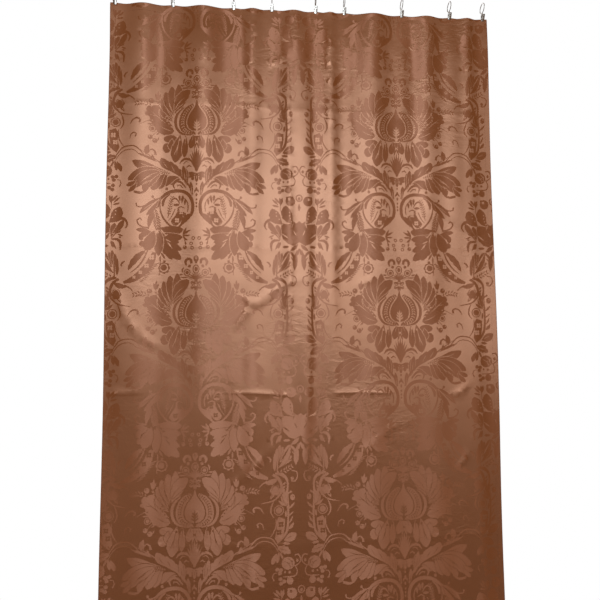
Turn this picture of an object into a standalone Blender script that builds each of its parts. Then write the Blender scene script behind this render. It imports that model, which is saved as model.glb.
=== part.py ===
"""A fabric room curtain panel, hung from a rod by clip rings.

The cloth is one panel with turned hems. Each clip ring is a wire ring with a welded eyelet, a hanger
loop, a spring clip of two jaws, its pivot pin and its torsion spring. X runs along the rod, -Y faces
the room, +Z is up, and the origin is on the rod's axis above the middle of the panel.
"""

import math

import bmesh
import bpy
from mathutils import Matrix, Vector

MM = 0.001

# Panel
HUNG_WIDTH = 1310 * MM
DROP = 2134 * MM
CLOTH = 0.6 * MM
HEADER_HEM = 28 * MM
BOTTOM_HEM = 75 * MM
SIDE_HEM = 20 * MM
BOW_SHARE = 0.085  # how far a bay bows into the room, as a share of its length
BAY_STEPS = 6
DROP_STEPS = 4

# Clip rings, left to right: place as a share of the way from the middle to a corner clip
CLIP_PLACES = (-1.0, -0.70, -0.38, -0.175, 0.0625, 0.22, 0.54, 0.81, 1.0)
CORNER_INSET = 15 * MM

# Rod that the rings run on
ROD_RADIUS = 11 * MM

# Ring and eyelet
RING_INNER_RADIUS = 15 * MM
RING_WIRE = 2.4 * MM
EYELET_HOLE_RADIUS = 1.5 * MM
EYELET_WIRE = 1.6 * MM
WELD_DEPTH = 0.5 * MM
RING_STEPS = 24
EYELET_STEPS = 12
WIRE_SIDES = 6
ROUND_SIDES = 12

# Hanger loop
LOOP_WIRE = 1.1 * MM
LOOP_HEIGHT = 5.0 * MM
LOOP_SIDE_GAP = 0.5 * MM
LOOP_CORNER_RADIUS = 0.9 * MM
ARCH_STEPS = 8

# Clip
CLIP_WIDTH = 10.4 * MM
CLIP_LENGTH = 24 * MM
SHEET = 0.7 * MM
BARREL_BORE_RADIUS = 0.75 * MM
BARREL_INSET = 1.6 * MM
BARREL_STEP = 0.1 * MM  # how far the plate stands behind the barrel's bore
SHOULDER_DROP = 2.0 * MM
GRIP_DEPTH = 7 * MM
LIP_RISE = 4.5 * MM
PIN_RADIUS = 0.7 * MM
PIN_DROP = 10 * MM
PIN_REACH = 2.6 * MM
PIN_HEAD = 0.6 * MM
PIN_HEAD_RADIUS = 1.3 * MM
EAR_RADIUS = 1.7 * MM
EAR_INSET = 0.1 * MM
BELLY = 3.4 * MM
LEVER_REACH = 6.2 * MM
LEVER_RISE = 9.5 * MM
SLOT_WIDTH = 3.0 * MM
SLOT_LENGTH = 4.5 * MM

# Spring
SPRING_WIRE = 0.5 * MM
SPRING_PITCH = 1.0 * MM
SPRING_TURNS = 2.5
SPRING_LEG = 4.5 * MM
SPRING_STEPS = 6

# Gaps
TOUCH_GAP = 0.3 * MM
RUNNING_GAP = 0.05 * MM
LOOSE_GAP = 0.25 * MM

# Heights and depths that follow from the values above
RING_RADIUS = RING_INNER_RADIUS + RING_WIRE / 2
RING_Z = ROD_RADIUS - RING_INNER_RADIUS
RING_BOTTOM = RING_Z - RING_INNER_RADIUS - RING_WIRE
EYELET_RADIUS = EYELET_HOLE_RADIUS + EYELET_WIRE / 2
EYELET_Z = RING_BOTTOM + WELD_DEPTH - EYELET_HOLE_RADIUS - EYELET_WIRE
SWING_Z = EYELET_Z - EYELET_HOLE_RADIUS + LOOSE_GAP + LOOP_WIRE / 2
BARREL_Z = SWING_Z - LOOP_HEIGHT
BARREL_RADIUS = BARREL_BORE_RADIUS + SHEET
CLIP_TOP = BARREL_Z + BARREL_RADIUS
CLIP_BOTTOM = CLIP_TOP - CLIP_LENGTH
PIN_Z = BARREL_Z - PIN_DROP
PIN_Y = -PIN_REACH
STACK = 2 * CLOTH + TOUCH_GAP
BACK_FACE_Y = BARREL_BORE_RADIUS + BARREL_STEP
HEM_Y = BACK_FACE_Y - TOUCH_GAP - CLOTH / 2
FACE_Y = HEM_Y - CLOTH - TOUCH_GAP
FRONT_FACE_Y = BACK_FACE_Y - STACK - 2 * TOUCH_GAP
PANEL_TOP = CLIP_BOTTOM + GRIP_DEPTH
PANEL_BOTTOM = PANEL_TOP - DROP
FLAT_HALF = CLIP_WIDTH / 2 + 1 * MM
BARREL_HALF = CLIP_WIDTH / 2 - BARREL_INSET
LOOP_HALF = BARREL_HALF + LOOP_SIDE_GAP + LOOP_WIRE / 2
BACK_EAR_X = CLIP_WIDTH / 2 - EAR_INSET - SHEET / 2
FRONT_EAR_X = BACK_EAR_X - SHEET - TOUCH_GAP
SPRING_RADIUS = PIN_RADIUS + TOUCH_GAP + SPRING_WIRE / 2

# The front jaw's inner side, from its foot up to the tip of its finger lever
FRONT_LINE = (
    (FRONT_FACE_Y, CLIP_BOTTOM),
    (FRONT_FACE_Y, CLIP_BOTTOM + LIP_RISE),
    (PIN_Y - BELLY, PIN_Z),
    (PIN_Y - LEVER_REACH, PIN_Z + LEVER_RISE),
)


def clip_xs():
    """Places of the clip rings along the rod."""
    reach = HUNG_WIDTH / 2 - CORNER_INSET
    return [share * reach for share in CLIP_PLACES]


# --- helpers ------------------------------------------------------------------------------------


def clear_scene():
    for obj in list(bpy.data.objects):
        bpy.data.objects.remove(obj, do_unlink=True)


def new_collection(name, hidden=False):
    collection = bpy.data.collections.new(name)
    collection.hide_render = hidden
    bpy.context.scene.collection.children.link(collection)
    return collection


def material(name, colour, roughness, metallic):
    made = bpy.data.materials.new(name)
    made.use_nodes = True
    shader = made.node_tree.nodes["Principled BSDF"]
    shader.inputs["Base Color"].default_value = (*colour, 1)
    shader.inputs["Roughness"].default_value = roughness
    shader.inputs["Metallic"].default_value = metallic
    made.diffuse_color = (*colour, 1)
    return made


def object_from_bmesh(name, shape, collection):
    mesh = bpy.data.meshes.new(name)
    shape.to_mesh(mesh)
    shape.free()
    obj = bpy.data.objects.new(name, mesh)
    collection.objects.link(obj)
    return obj


def baked(obj):
    """The object's mesh with its modifiers applied and its place in it."""
    bpy.context.view_layer.update()
    graph = bpy.context.evaluated_depsgraph_get()
    mesh = bpy.data.meshes.new_from_object(obj.evaluated_get(graph))
    mesh.transform(obj.matrix_world)
    return mesh


def welded(mesh):
    shape = bmesh.new()
    shape.from_mesh(mesh)
    bmesh.ops.remove_doubles(shape, verts=shape.verts, dist=1e-6)
    bmesh.ops.recalc_face_normals(shape, faces=shape.faces)
    shape.to_mesh(mesh)
    shape.free()
    return mesh


def boolean(obj, other, operation):
    """Joins or cuts obj with other, and removes other."""
    modifier = obj.modifiers.new(operation.title(), "BOOLEAN")
    modifier.operation = operation
    modifier.object = other
    mesh = baked(obj)
    obj.modifiers.clear()
    obj.data = welded(mesh)
    bpy.data.objects.remove(other, do_unlink=True)


def wire(name, points, radius, collection, closed=False):
    """A round wire along the points, as a curve with a bevel."""
    curve = bpy.data.curves.new(name, "CURVE")
    curve.dimensions = "3D"
    curve.bevel_depth = radius
    curve.bevel_resolution = WIRE_SIDES // 2 - 2
    curve.use_fill_caps = not closed
    spline = curve.splines.new("POLY")
    spline.points.add(len(points) - 1)
    for place, point in zip(spline.points, points):
        place.co = (*point, 1)
    spline.use_cyclic_u = closed
    obj = bpy.data.objects.new(name, curve)
    collection.objects.link(obj)
    return obj


def wire_mesh(name, points, radius, collection, closed=False):
    """The same wire as a closed mesh object."""
    curve = wire(name + "_path", points, radius, collection, closed)
    obj = bpy.data.objects.new(name, welded(baked(curve)))
    collection.objects.link(obj)
    bpy.data.objects.remove(curve, do_unlink=True)
    return obj


def circle(y, z, radius, steps, start=0.0):
    """Points round a circle about X."""
    turns = [start + 2 * math.pi * step / steps for step in range(steps)]
    return [(0, y + radius * math.cos(a), z + radius * math.sin(a)) for a in turns]


def rod_about_x(name, half, radius, y, z, sides, collection, x=0.0):
    shape = bmesh.new()
    place = Matrix.Translation((x, y, z)) @ Matrix.Rotation(math.pi / 2, 4, "Y")
    bmesh.ops.create_cone(
        shape,
        cap_ends=True,
        segments=sides,
        radius1=radius,
        radius2=radius,
        depth=2 * half,
        matrix=place,
    )
    return object_from_bmesh(name, shape, collection)


def plate(name, outline, half, collection, x=0.0):
    """A flat plate whose (y, z) outline is extruded along X."""
    shape = bmesh.new()
    verts = [shape.verts.new((x - half, y, z)) for y, z in outline]
    face = shape.faces.new(verts)
    made = bmesh.ops.extrude_face_region(shape, geom=[face])
    moved = [item for item in made["geom"] if isinstance(item, bmesh.types.BMVert)]
    bmesh.ops.translate(shape, vec=(2 * half, 0, 0), verts=moved)
    bmesh.ops.recalc_face_normals(shape, faces=shape.faces)
    return object_from_bmesh(name, shape, collection)


def strip_outline(line, thickness):
    """A closed outline of a bent sheet, whose outer side is the line and which lies to its left."""
    left = []
    for index, point in enumerate(line):
        before = Vector(point) - Vector(line[max(index - 1, 0)])
        after = Vector(line[min(index + 1, len(line) - 1)]) - Vector(point)
        normals = [Vector((-way.y, way.x)).normalized() for way in (before, after) if way.length]
        middle = sum(normals, Vector((0, 0))).normalized()
        left.append(Vector(point) + middle * thickness / middle.dot(normals[0]))
    return [tuple(point) for point in line] + [tuple(point) for point in reversed(left)]


# --- cloth --------------------------------------------------------------------------------------


def cloth_line():
    """(x, bow) along the panel: flat where a clip holds it, bowed into the room in each bay."""
    xs = clip_xs()
    line = [(-HUNG_WIDTH / 2, 0.0)]
    for left, right in zip(xs, xs[1:]):
        start, end = left + FLAT_HALF, right - FLAT_HALF
        line.append((left - FLAT_HALF, 0.0))
        for step in range(BAY_STEPS):
            share = step / BAY_STEPS
            depth = BOW_SHARE * (end - start) * math.sin(math.pi * share) ** 2
            line.append((start + share * (end - start), depth))
    line += [(xs[-1] - FLAT_HALF, 0.0), (xs[-1] + FLAT_HALF, 0.0), (HUNG_WIDTH / 2, 0.0)]
    return line


def clipped_line(line, low, high):
    """The part of the line between two places along the rod, with its ends cut to them."""
    inside = [(x, bow) for x, bow in line if low < x < high]

    def bow_at(place):
        for (x0, bow0), (x1, bow1) in zip(line, line[1:]):
            if x0 <= place <= x1:
                return bow0 + (bow1 - bow0) * (place - x0) / (x1 - x0)
        return 0.0

    return [(low, bow_at(low))] + inside + [(high, bow_at(high))]


def cloth_sheet(name, line, y, top, bottom, rows, collection):
    """A sheet that follows the line across and hangs straight down, with the cloth's thickness."""
    shape = bmesh.new()
    verts = [shape.verts.new((x, y - bow, top)) for x, bow in line]
    edges = [shape.edges.new(pair) for pair in zip(verts, verts[1:])]
    for _ in range(rows):
        made = bmesh.ops.extrude_edge_only(shape, edges=edges)["geom"]
        verts = [item for item in made if isinstance(item, bmesh.types.BMVert)]
        edges = [
            item
            for item in made
            if isinstance(item, bmesh.types.BMEdge) and all(v in verts for v in item.verts)
        ]
        bmesh.ops.translate(shape, vec=(0, 0, (bottom - top) / rows), verts=verts)
    bmesh.ops.recalc_face_normals(shape, faces=shape.faces)
    obj = object_from_bmesh(name, shape, collection)
    thickness = obj.modifiers.new("Thickness", "SOLIDIFY")
    thickness.thickness = CLOTH
    thickness.offset = 0.0
    return obj


def build_panel(collection, face_look, hem_look):
    line = cloth_line()
    half = HUNG_WIDTH / 2
    inner_top = PANEL_TOP - HEADER_HEM - TOUCH_GAP
    inner_bottom = PANEL_BOTTOM + BOTTOM_HEM + TOUCH_GAP
    sheets = [
        ("face_panel", line, FACE_Y, PANEL_TOP, PANEL_BOTTOM, DROP_STEPS, face_look),
        ("header_hem", line, HEM_Y, PANEL_TOP, PANEL_TOP - HEADER_HEM, 1, hem_look),
        ("bottom_hem", line, HEM_Y, PANEL_BOTTOM + BOTTOM_HEM, PANEL_BOTTOM, 1, hem_look),
    ]
    for name, low, high in (
        ("left_side_hem", -half, -half + SIDE_HEM),
        ("right_side_hem", half - SIDE_HEM, half),
    ):
        side = clipped_line(line, low, high)
        sheets.append((name, side, HEM_Y, inner_top, inner_bottom, 2, hem_look))
    for name, points, y, top, bottom, rows, look in sheets:
        obj = cloth_sheet(name, points, y, top, bottom, rows, collection)
        obj.data.materials.append(look)


# --- clip ring ----------------------------------------------------------------------------------


def ring_mesh(scratch):
    """Wire ring round the rod with the eyelet welded under it."""
    ring = wire_mesh(
        "ring", circle(0, RING_Z, RING_RADIUS, RING_STEPS), RING_WIRE / 2, scratch, closed=True
    )
    eyelet = wire_mesh(
        "eyelet",
        circle(0, EYELET_Z, EYELET_RADIUS, EYELET_STEPS),
        EYELET_WIRE / 2,
        scratch,
        closed=True,
    )
    boolean(ring, eyelet, "UNION")
    return ring.data


def loop_mesh(scratch):
    """D-shaped hanger: an arch through the eyelet and a straight bar through the barrel."""
    foot = BARREL_Z + LOOP_CORNER_RADIUS
    rise = LOOP_HEIGHT - LOOP_CORNER_RADIUS
    turns = [math.pi * step / ARCH_STEPS for step in range(ARCH_STEPS + 1)]
    points = [(LOOP_HALF * math.cos(a), 0, foot + rise * math.sin(a)) for a in turns]
    for side, angles in ((-1, (math.pi / 4, math.pi / 2)), (1, (math.pi / 2, math.pi / 4))):
        for angle in angles:
            x = side * (LOOP_HALF - LOOP_CORNER_RADIUS * (1 - math.cos(angle)))
            points.append((x, 0, foot - LOOP_CORNER_RADIUS * math.sin(angle)))
    return wire_mesh("loop", points, LOOP_WIRE / 2, scratch, closed=True).data


def add_ears(jaw, x, plate_y, scratch):
    """Joins an ear on each side: round about the pin, and straight across to the plate."""
    way = math.copysign(1, plate_y(PIN_Z) - PIN_Y)
    turns = [math.pi * step / ARCH_STEPS for step in range(ARCH_STEPS + 1)]
    outline = [
        (PIN_Y - way * EAR_RADIUS * math.sin(a), PIN_Z + EAR_RADIUS * math.cos(a)) for a in turns
    ]
    outline += [(plate_y(z), z) for z in (PIN_Z - EAR_RADIUS, PIN_Z, PIN_Z + EAR_RADIUS)]
    for side in (-1, 1):
        boolean(jaw, plate("ear", outline, SHEET / 2, scratch, side * x), "UNION")


def drill(obj, radius, y, z, scratch):
    boolean(
        obj, rod_about_x("drill", CLIP_WIDTH, radius, y, z, ROUND_SIDES, scratch), "DIFFERENCE"
    )


def back_jaw_mesh(scratch):
    """Back plate with a narrower neck, a rolled barrel at its top, and two ears for the pin."""
    outer_y = BACK_FACE_Y + SHEET
    shoulder = BARREL_Z - SHOULDER_DROP
    body = strip_outline([(outer_y, CLIP_BOTTOM), (outer_y, shoulder)], SHEET)
    neck = strip_outline([(outer_y, shoulder - SHEET), (outer_y, BARREL_Z)], SHEET)
    jaw = plate("back", body, CLIP_WIDTH / 2, scratch)
    boolean(jaw, plate("neck", neck, BARREL_HALF, scratch), "UNION")
    barrel = rod_about_x(
        "barrel", BARREL_HALF, BARREL_RADIUS, 0, BARREL_Z, ROUND_SIDES, scratch
    )
    boolean(jaw, barrel, "UNION")
    drill(jaw, BARREL_BORE_RADIUS, 0, BARREL_Z, scratch)
    add_ears(jaw, BACK_EAR_X, lambda z: BACK_FACE_Y + SHEET / 2, scratch)
    drill(jaw, PIN_RADIUS + RUNNING_GAP, PIN_Y, PIN_Z, scratch)
    return jaw.data


def front_inner_y(z):
    """The front jaw's inner side at a height."""
    for (y0, z0), (y1, z1) in zip(FRONT_LINE, FRONT_LINE[1:]):
        if z0 <= z <= z1:
            return y0 + (y1 - y0) * (z - z0) / (z1 - z0)
    return FRONT_LINE[-1][0]


def front_jaw_mesh(scratch):
    """Bent front plate: flat lip on the cloth, belly over the pin, and a slotted finger lever."""
    jaw = plate("front", strip_outline(list(FRONT_LINE), SHEET), CLIP_WIDTH / 2, scratch)
    add_ears(jaw, FRONT_EAR_X, lambda z: front_inner_y(z) - SHEET / 2, scratch)
    drill(jaw, PIN_RADIUS + RUNNING_GAP, PIN_Y, PIN_Z, scratch)
    low = PIN_Z + (LEVER_RISE - SLOT_LENGTH) / 2
    near, far = PIN_Y - BELLY / 2, PIN_Y - 2 * LEVER_REACH
    window = [(near, low), (near, low + SLOT_LENGTH), (far, low + SLOT_LENGTH), (far, low)]
    boolean(jaw, plate("window", window, SLOT_WIDTH / 2, scratch), "DIFFERENCE")
    return jaw.data


def pin_mesh(scratch):
    """Pin with a riveted head outside each ear, turned about X."""
    inner = CLIP_WIDTH / 2 + TOUCH_GAP
    outer = inner + PIN_HEAD
    half = [(inner, PIN_RADIUS), (inner, PIN_HEAD_RADIUS), (outer, PIN_HEAD_RADIUS), (outer, 0)]
    profile = [(-x, radius) for x, radius in reversed(half)] + half
    shape = bmesh.new()
    verts = [shape.verts.new((x, radius, 0)) for x, radius in profile]
    for pair in zip(verts, verts[1:]):
        shape.edges.new(pair)
    obj = object_from_bmesh("pin", shape, scratch)
    turn = obj.modifiers.new("Turn", "SCREW")
    turn.axis = "X"
    turn.steps = turn.render_steps = ROUND_SIDES - 2
    turn.use_merge_vertices = True
    turn.merge_threshold = 0.01 * MM
    obj.location = (0, PIN_Y, PIN_Z)
    return welded(baked(obj))


def spring_mesh(scratch):
    """Torsion coil round the pin, with one leg up the back plate and one up the lever."""
    half = SPRING_PITCH * SPRING_TURNS / 2
    top = PIN_Z + SPRING_LEG
    clear = TOUCH_GAP + SPRING_WIRE / 2
    points = [(-half, BACK_FACE_Y - clear, top)]
    steps = int(SPRING_STEPS * SPRING_TURNS)
    for step in range(steps + 1):
        angle = -2 * math.pi * step / SPRING_STEPS
        y = PIN_Y + SPRING_RADIUS * math.cos(angle)
        z = PIN_Z + SPRING_RADIUS * math.sin(angle)
        points.append((-half + 2 * half * step / steps, y, z))
    points.append((half, front_inner_y(top) + clear, top))
    return wire_mesh("spring", points, SPRING_WIRE / 2, scratch).data


def build_clip_rings(collection, scratch, looks):
    """Places a copy of each piece at each clip ring, with moving pieces' origins on their axes."""
    swing = Vector((0, 0, SWING_Z))
    pivot = Vector((0, PIN_Y, PIN_Z))
    pieces = [
        ("ring", ring_mesh(scratch), Vector((0, 0, 0))),
        ("hanger_loop", loop_mesh(scratch), swing),
        ("back_jaw", back_jaw_mesh(scratch), swing),
        ("pivot_pin", pin_mesh(scratch), swing),
        ("spring", spring_mesh(scratch), swing),
        ("front_jaw", front_jaw_mesh(scratch), pivot),
    ]
    for kind, mesh, origin in pieces:
        mesh.transform(Matrix.Translation(-origin))
        mesh.materials.clear()
        mesh.materials.append(looks[kind])
        mesh.shade_smooth()
        mesh.set_sharp_from_angle(angle=math.radians(35))
    for number, x in enumerate(clip_xs(), start=1):
        placed = {}
        for kind, mesh, origin in pieces:
            obj = bpy.data.objects.new(f"{kind}_{number}", mesh)
            collection.objects.link(obj)
            obj.location = origin + Vector((x, 0, 0))
            placed[kind] = obj
        for kind in ("hanger_loop", "pivot_pin", "spring", "front_jaw"):
            placed[kind].parent = placed["back_jaw"]
            placed[kind].location -= placed["back_jaw"].location


def main():
    clear_scene()
    collection = new_collection("Curtain panel")
    scratch = new_collection("Scratch", hidden=True)
    cloth = material("jacquard cloth", (0.39, 0.17, 0.10), 0.5, 0.0)
    hem = material("hem cloth", (0.30, 0.13, 0.075), 0.6, 0.0)
    looks = {
        "ring": material("ring wire", (0.56, 0.55, 0.53), 0.3, 1.0),
        "hanger_loop": material("loop wire", (0.50, 0.49, 0.47), 0.3, 1.0),
        "back_jaw": material("back jaw plate", (0.58, 0.57, 0.55), 0.35, 1.0),
        "front_jaw": material("front jaw plate", (0.60, 0.59, 0.57), 0.35, 1.0),
        "pivot_pin": material("pin", (0.45, 0.44, 0.42), 0.3, 1.0),
        "spring": material("spring wire", (0.35, 0.34, 0.33), 0.35, 1.0),
    }
    build_panel(collection, cloth, hem)
    build_clip_rings(collection, scratch, looks)
    for obj in list(scratch.objects):
        bpy.data.objects.remove(obj, do_unlink=True)


if __name__ == "__main__":
    main()
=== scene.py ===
"""A brown damask curtain panel on clip rings: its woven cloth, turned hems, stitching and clips.

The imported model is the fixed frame. The cloth is cut flat, patterned, then hung from the clips; the
rings, loops and jaws are modelled round the frame's own, and the stage holds a floor and soft lights.
"""

import math

import bmesh
import bpy
import numpy as np
from bpy.props import FloatProperty, FloatVectorProperty, IntProperty, PointerProperty
from mathutils import Matrix, Vector
from mathutils.geometry import delaunay_2d_cdt


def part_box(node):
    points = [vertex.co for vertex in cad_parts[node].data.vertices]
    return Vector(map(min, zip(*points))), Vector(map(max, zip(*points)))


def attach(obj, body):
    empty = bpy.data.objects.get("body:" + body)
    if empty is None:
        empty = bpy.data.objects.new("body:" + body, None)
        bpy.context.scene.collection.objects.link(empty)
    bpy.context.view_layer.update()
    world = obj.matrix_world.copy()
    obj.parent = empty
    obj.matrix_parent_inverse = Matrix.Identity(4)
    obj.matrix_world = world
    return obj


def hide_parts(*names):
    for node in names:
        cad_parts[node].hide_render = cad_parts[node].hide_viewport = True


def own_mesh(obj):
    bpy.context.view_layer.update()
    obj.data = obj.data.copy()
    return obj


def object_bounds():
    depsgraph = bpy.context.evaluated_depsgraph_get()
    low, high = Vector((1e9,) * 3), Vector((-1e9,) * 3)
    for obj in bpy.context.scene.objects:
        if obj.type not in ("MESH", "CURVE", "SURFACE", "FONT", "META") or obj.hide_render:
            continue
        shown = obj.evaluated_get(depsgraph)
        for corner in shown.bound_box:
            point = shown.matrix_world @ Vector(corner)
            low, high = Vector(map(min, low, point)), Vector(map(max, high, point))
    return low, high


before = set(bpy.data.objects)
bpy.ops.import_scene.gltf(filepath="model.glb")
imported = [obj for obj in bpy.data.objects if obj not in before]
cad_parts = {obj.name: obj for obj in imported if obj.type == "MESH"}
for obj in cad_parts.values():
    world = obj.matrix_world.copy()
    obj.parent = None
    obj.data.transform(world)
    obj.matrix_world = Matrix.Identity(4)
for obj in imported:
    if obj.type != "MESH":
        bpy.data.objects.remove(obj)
CAD_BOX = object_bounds()

bl_info = {
    "name": "Damask Curtain Panel",
    "version": (1, 0, 0),
    "blender": (4, 5, 0),
    "location": "View3D > Sidebar > Curtain",
    "description": "Builds a hung damask curtain panel with its hems, stitching and clip rings",
    "category": "Object",
}

MM = 0.001
CLIPS = range(1, 10)


def middle(node):
    """The middle of a frame part's box."""
    low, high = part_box(node)
    return (low + high) / 2


CLIP_X = [middle(f"ring_{k}").x for k in CLIPS]
PANEL_LOW, PANEL_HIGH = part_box("face_panel")
FACE_Y = PANEL_HIGH.y - 0.3 * MM
HALF_WIDTH = PANEL_HIGH.x
DROP = PANEL_HIGH.z - PANEL_LOW.z


# --- settings -----------------------------------------------------------------------------------


class ClothSettings(bpy.types.PropertyGroup):
    flat_width: FloatProperty(
        name="Flat width", description="Width of the cloth laid flat", default=1.325, unit="LENGTH"
    )
    flat_drop: FloatProperty(
        name="Flat drop", description="Length of the cloth laid flat", default=2.134, unit="LENGTH"
    )
    grid: FloatProperty(
        name="Fold mesh", description="Spacing of the mesh between motifs", default=0.0195, unit="LENGTH"
    )
    first_row: FloatProperty(
        name="First motif", description="Depth of the first row of motifs", default=0.395, unit="LENGTH"
    )
    off_centre: FloatProperty(
        name="Pattern offset", description="How far left of the middle the pattern is cut", default=0.023,
        unit="LENGTH",
    )
    bow: FloatProperty(
        name="Bow", description="How far a bay bows, as a share of its length", default=0.085
    )
    hem: FloatProperty(
        name="Header hem", description="Depth of the header hem", default=0.028, unit="LENGTH"
    )
    bottom_hem: FloatProperty(
        name="Bottom hem", description="Depth of the bottom hem", default=0.075, unit="LENGTH"
    )
    side_hem: FloatProperty(
        name="Side hem", description="Width of a side hem", default=0.020, unit="LENGTH"
    )
    stitch: FloatProperty(
        name="Stitch", description="Length of one stitch", default=0.0032, unit="LENGTH"
    )
    ground: FloatVectorProperty(
        name="Ground", description="Colour of the satin ground", default=(0.70, 0.28, 0.105),
        subtype="COLOR", size=3, min=0, max=1,
    )
    figure: FloatVectorProperty(
        name="Figure", description="Colour of the woven figure", default=(0.60, 0.21, 0.07),
        subtype="COLOR", size=3, min=0, max=1,
    )


class HardwareSettings(bpy.types.PropertyGroup):
    ring_steps: IntProperty(name="Ring steps", description="Steps round a ring", default=72, min=24)
    wire_sides: IntProperty(name="Wire sides", description="Sides of a wire", default=12, min=8)
    rounding: FloatProperty(
        name="Edge rounding", description="Rounding of a jaw's edges", default=0.00012, unit="LENGTH"
    )
    plating: FloatVectorProperty(
        name="Plating", description="Colour of the nickel plating", default=(0.60, 0.58, 0.55),
        subtype="COLOR", size=3, min=0, max=1,
    )


class StageSettings(bpy.types.PropertyGroup):
    key_power: FloatProperty(name="Key light", description="Power of the key light", default=68.0)
    backdrop: FloatVectorProperty(
        name="Backdrop", description="Colour of the floor and backdrop", default=(1.0, 1.0, 1.0),
        subtype="COLOR", size=3, min=0, max=1,
    )


# --- damask design, in millimetres: a from the motif's axis, b down from its middle -----------------

HALF_REPEAT = 343.0
REPEAT = 636.0
SEAM_DOWN = -200.0  # where one repeat meets the next
STRIDE = 7.5


def path(points):
    """Points of a smooth curve through the given ones, about a stride apart."""
    p = [np.array(q, float) for q in points]
    p = [2 * p[0] - p[1]] + p + [2 * p[-1] - p[-2]]
    out = []
    for i in range(1, len(p) - 2):
        steps = max(1, round(np.linalg.norm(p[i + 1] - p[i]) / STRIDE))
        for k in range(steps):
            t = k / steps
            out.append(
                0.5 * (2 * p[i] + (p[i + 1] - p[i - 1]) * t
                + (2 * p[i - 1] - 5 * p[i] + 4 * p[i + 1] - p[i + 2]) * t**2
                + (3 * p[i] - p[i - 1] - 3 * p[i + 1] + p[i + 2]) * t**3)
            )
    return np.array(out + [p[-2]])


def ribbon(line, widths):
    """Outline of a stroke along a line, as wide as widths at each of its points."""
    line = np.asarray(line, float)
    run = np.gradient(line, axis=0)
    run /= np.linalg.norm(run, axis=1)[:, None] + 1e-9
    side = np.c_[-run[:, 1], run[:, 0]] * (np.asarray(widths)[:, None] / 2)
    first, last = int(widths[0] < 0.8), int(widths[-1] < 0.8)
    there = line + side
    back = (line - side)[first : len(line) - last][::-1]
    return [tuple(q) for q in np.r_[there, back]]


def scroll(points, widths):
    """Outline of a smooth stroke through points."""
    line = path(points)
    at = np.linspace(0, len(widths) - 1, len(line))
    return ribbon(line, np.maximum(np.interp(at, range(len(widths)), widths), 0.3))


def leaf(base, tip, width, bend=0.0, broad=0.5, round_tip=1.0, lobes=0, depth=0.3):
    """Outline of a leaf. Width is its half width and bend moves its middle to its left."""
    base, tip = np.array(base, float), np.array(tip, float)
    run = tip - base
    length = np.linalg.norm(run) + 1e-9
    side = np.array([-run[1], run[0]]) / length
    steps = lobes * 3 if lobes else int(np.clip(round(length / 8), 2, 6))
    t = (1 - np.cos(np.linspace(0.0, math.pi, steps + 1))) / 2
    line = base + run * t[:, None] + side * (4 * bend * t * (1 - t))[:, None]
    grown = np.sin(math.pi * t ** (math.log(0.5) / math.log(broad))).clip(0) ** round_tip
    if lobes:
        grown = grown * (1 - depth + depth * np.abs(np.sin(lobes * math.pi * t)))
    return ribbon(line, np.maximum(2.25 * width * grown, 0.25))


def petal(base, tip, width, bend=0.0, broad=0.62):
    """A leaf that is broader near its rounded tip."""
    return leaf(base, tip, width, bend, broad, 0.7)


def disc(a, b, across, down=None, count=0):
    """An ellipse, with a point for each few millimetres."""
    down = across if down is None else down
    count = min(count or 14, int(np.clip(1.1 * max(across, down), 5, 12)))
    turns = np.arange(count) * 2 * math.pi / count
    return [(a + across * math.cos(q), b + down * math.sin(q)) for q in turns]


def blossom(a, b, radius, petals=4, depth=0.34, turn=0.0):
    """A round flower with notches between its petals."""
    turns = np.arange(petals * 4) * 2 * math.pi / (petals * 4)
    reach = radius * (1 - depth + depth * np.abs(np.cos(petals * (turns - turn) / 2)))
    return [(a + r * math.cos(q), b + r * math.sin(q)) for q, r in zip(turns, reach)]


def wider(outline, by):
    """The outline moved outwards."""
    p = np.array(outline)
    run = np.roll(p, -1, 0) - np.roll(p, 1, 0)
    run /= np.linalg.norm(run, axis=1)[:, None] + 1e-9
    out = np.c_[run[:, 1], -run[:, 0]]
    area = np.sum(p[:, 0] * np.roll(p[:, 1], -1) - np.roll(p[:, 0], -1) * p[:, 1])
    return [tuple(q) for q in p + out * (by if area > 0 else -by)]


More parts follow.
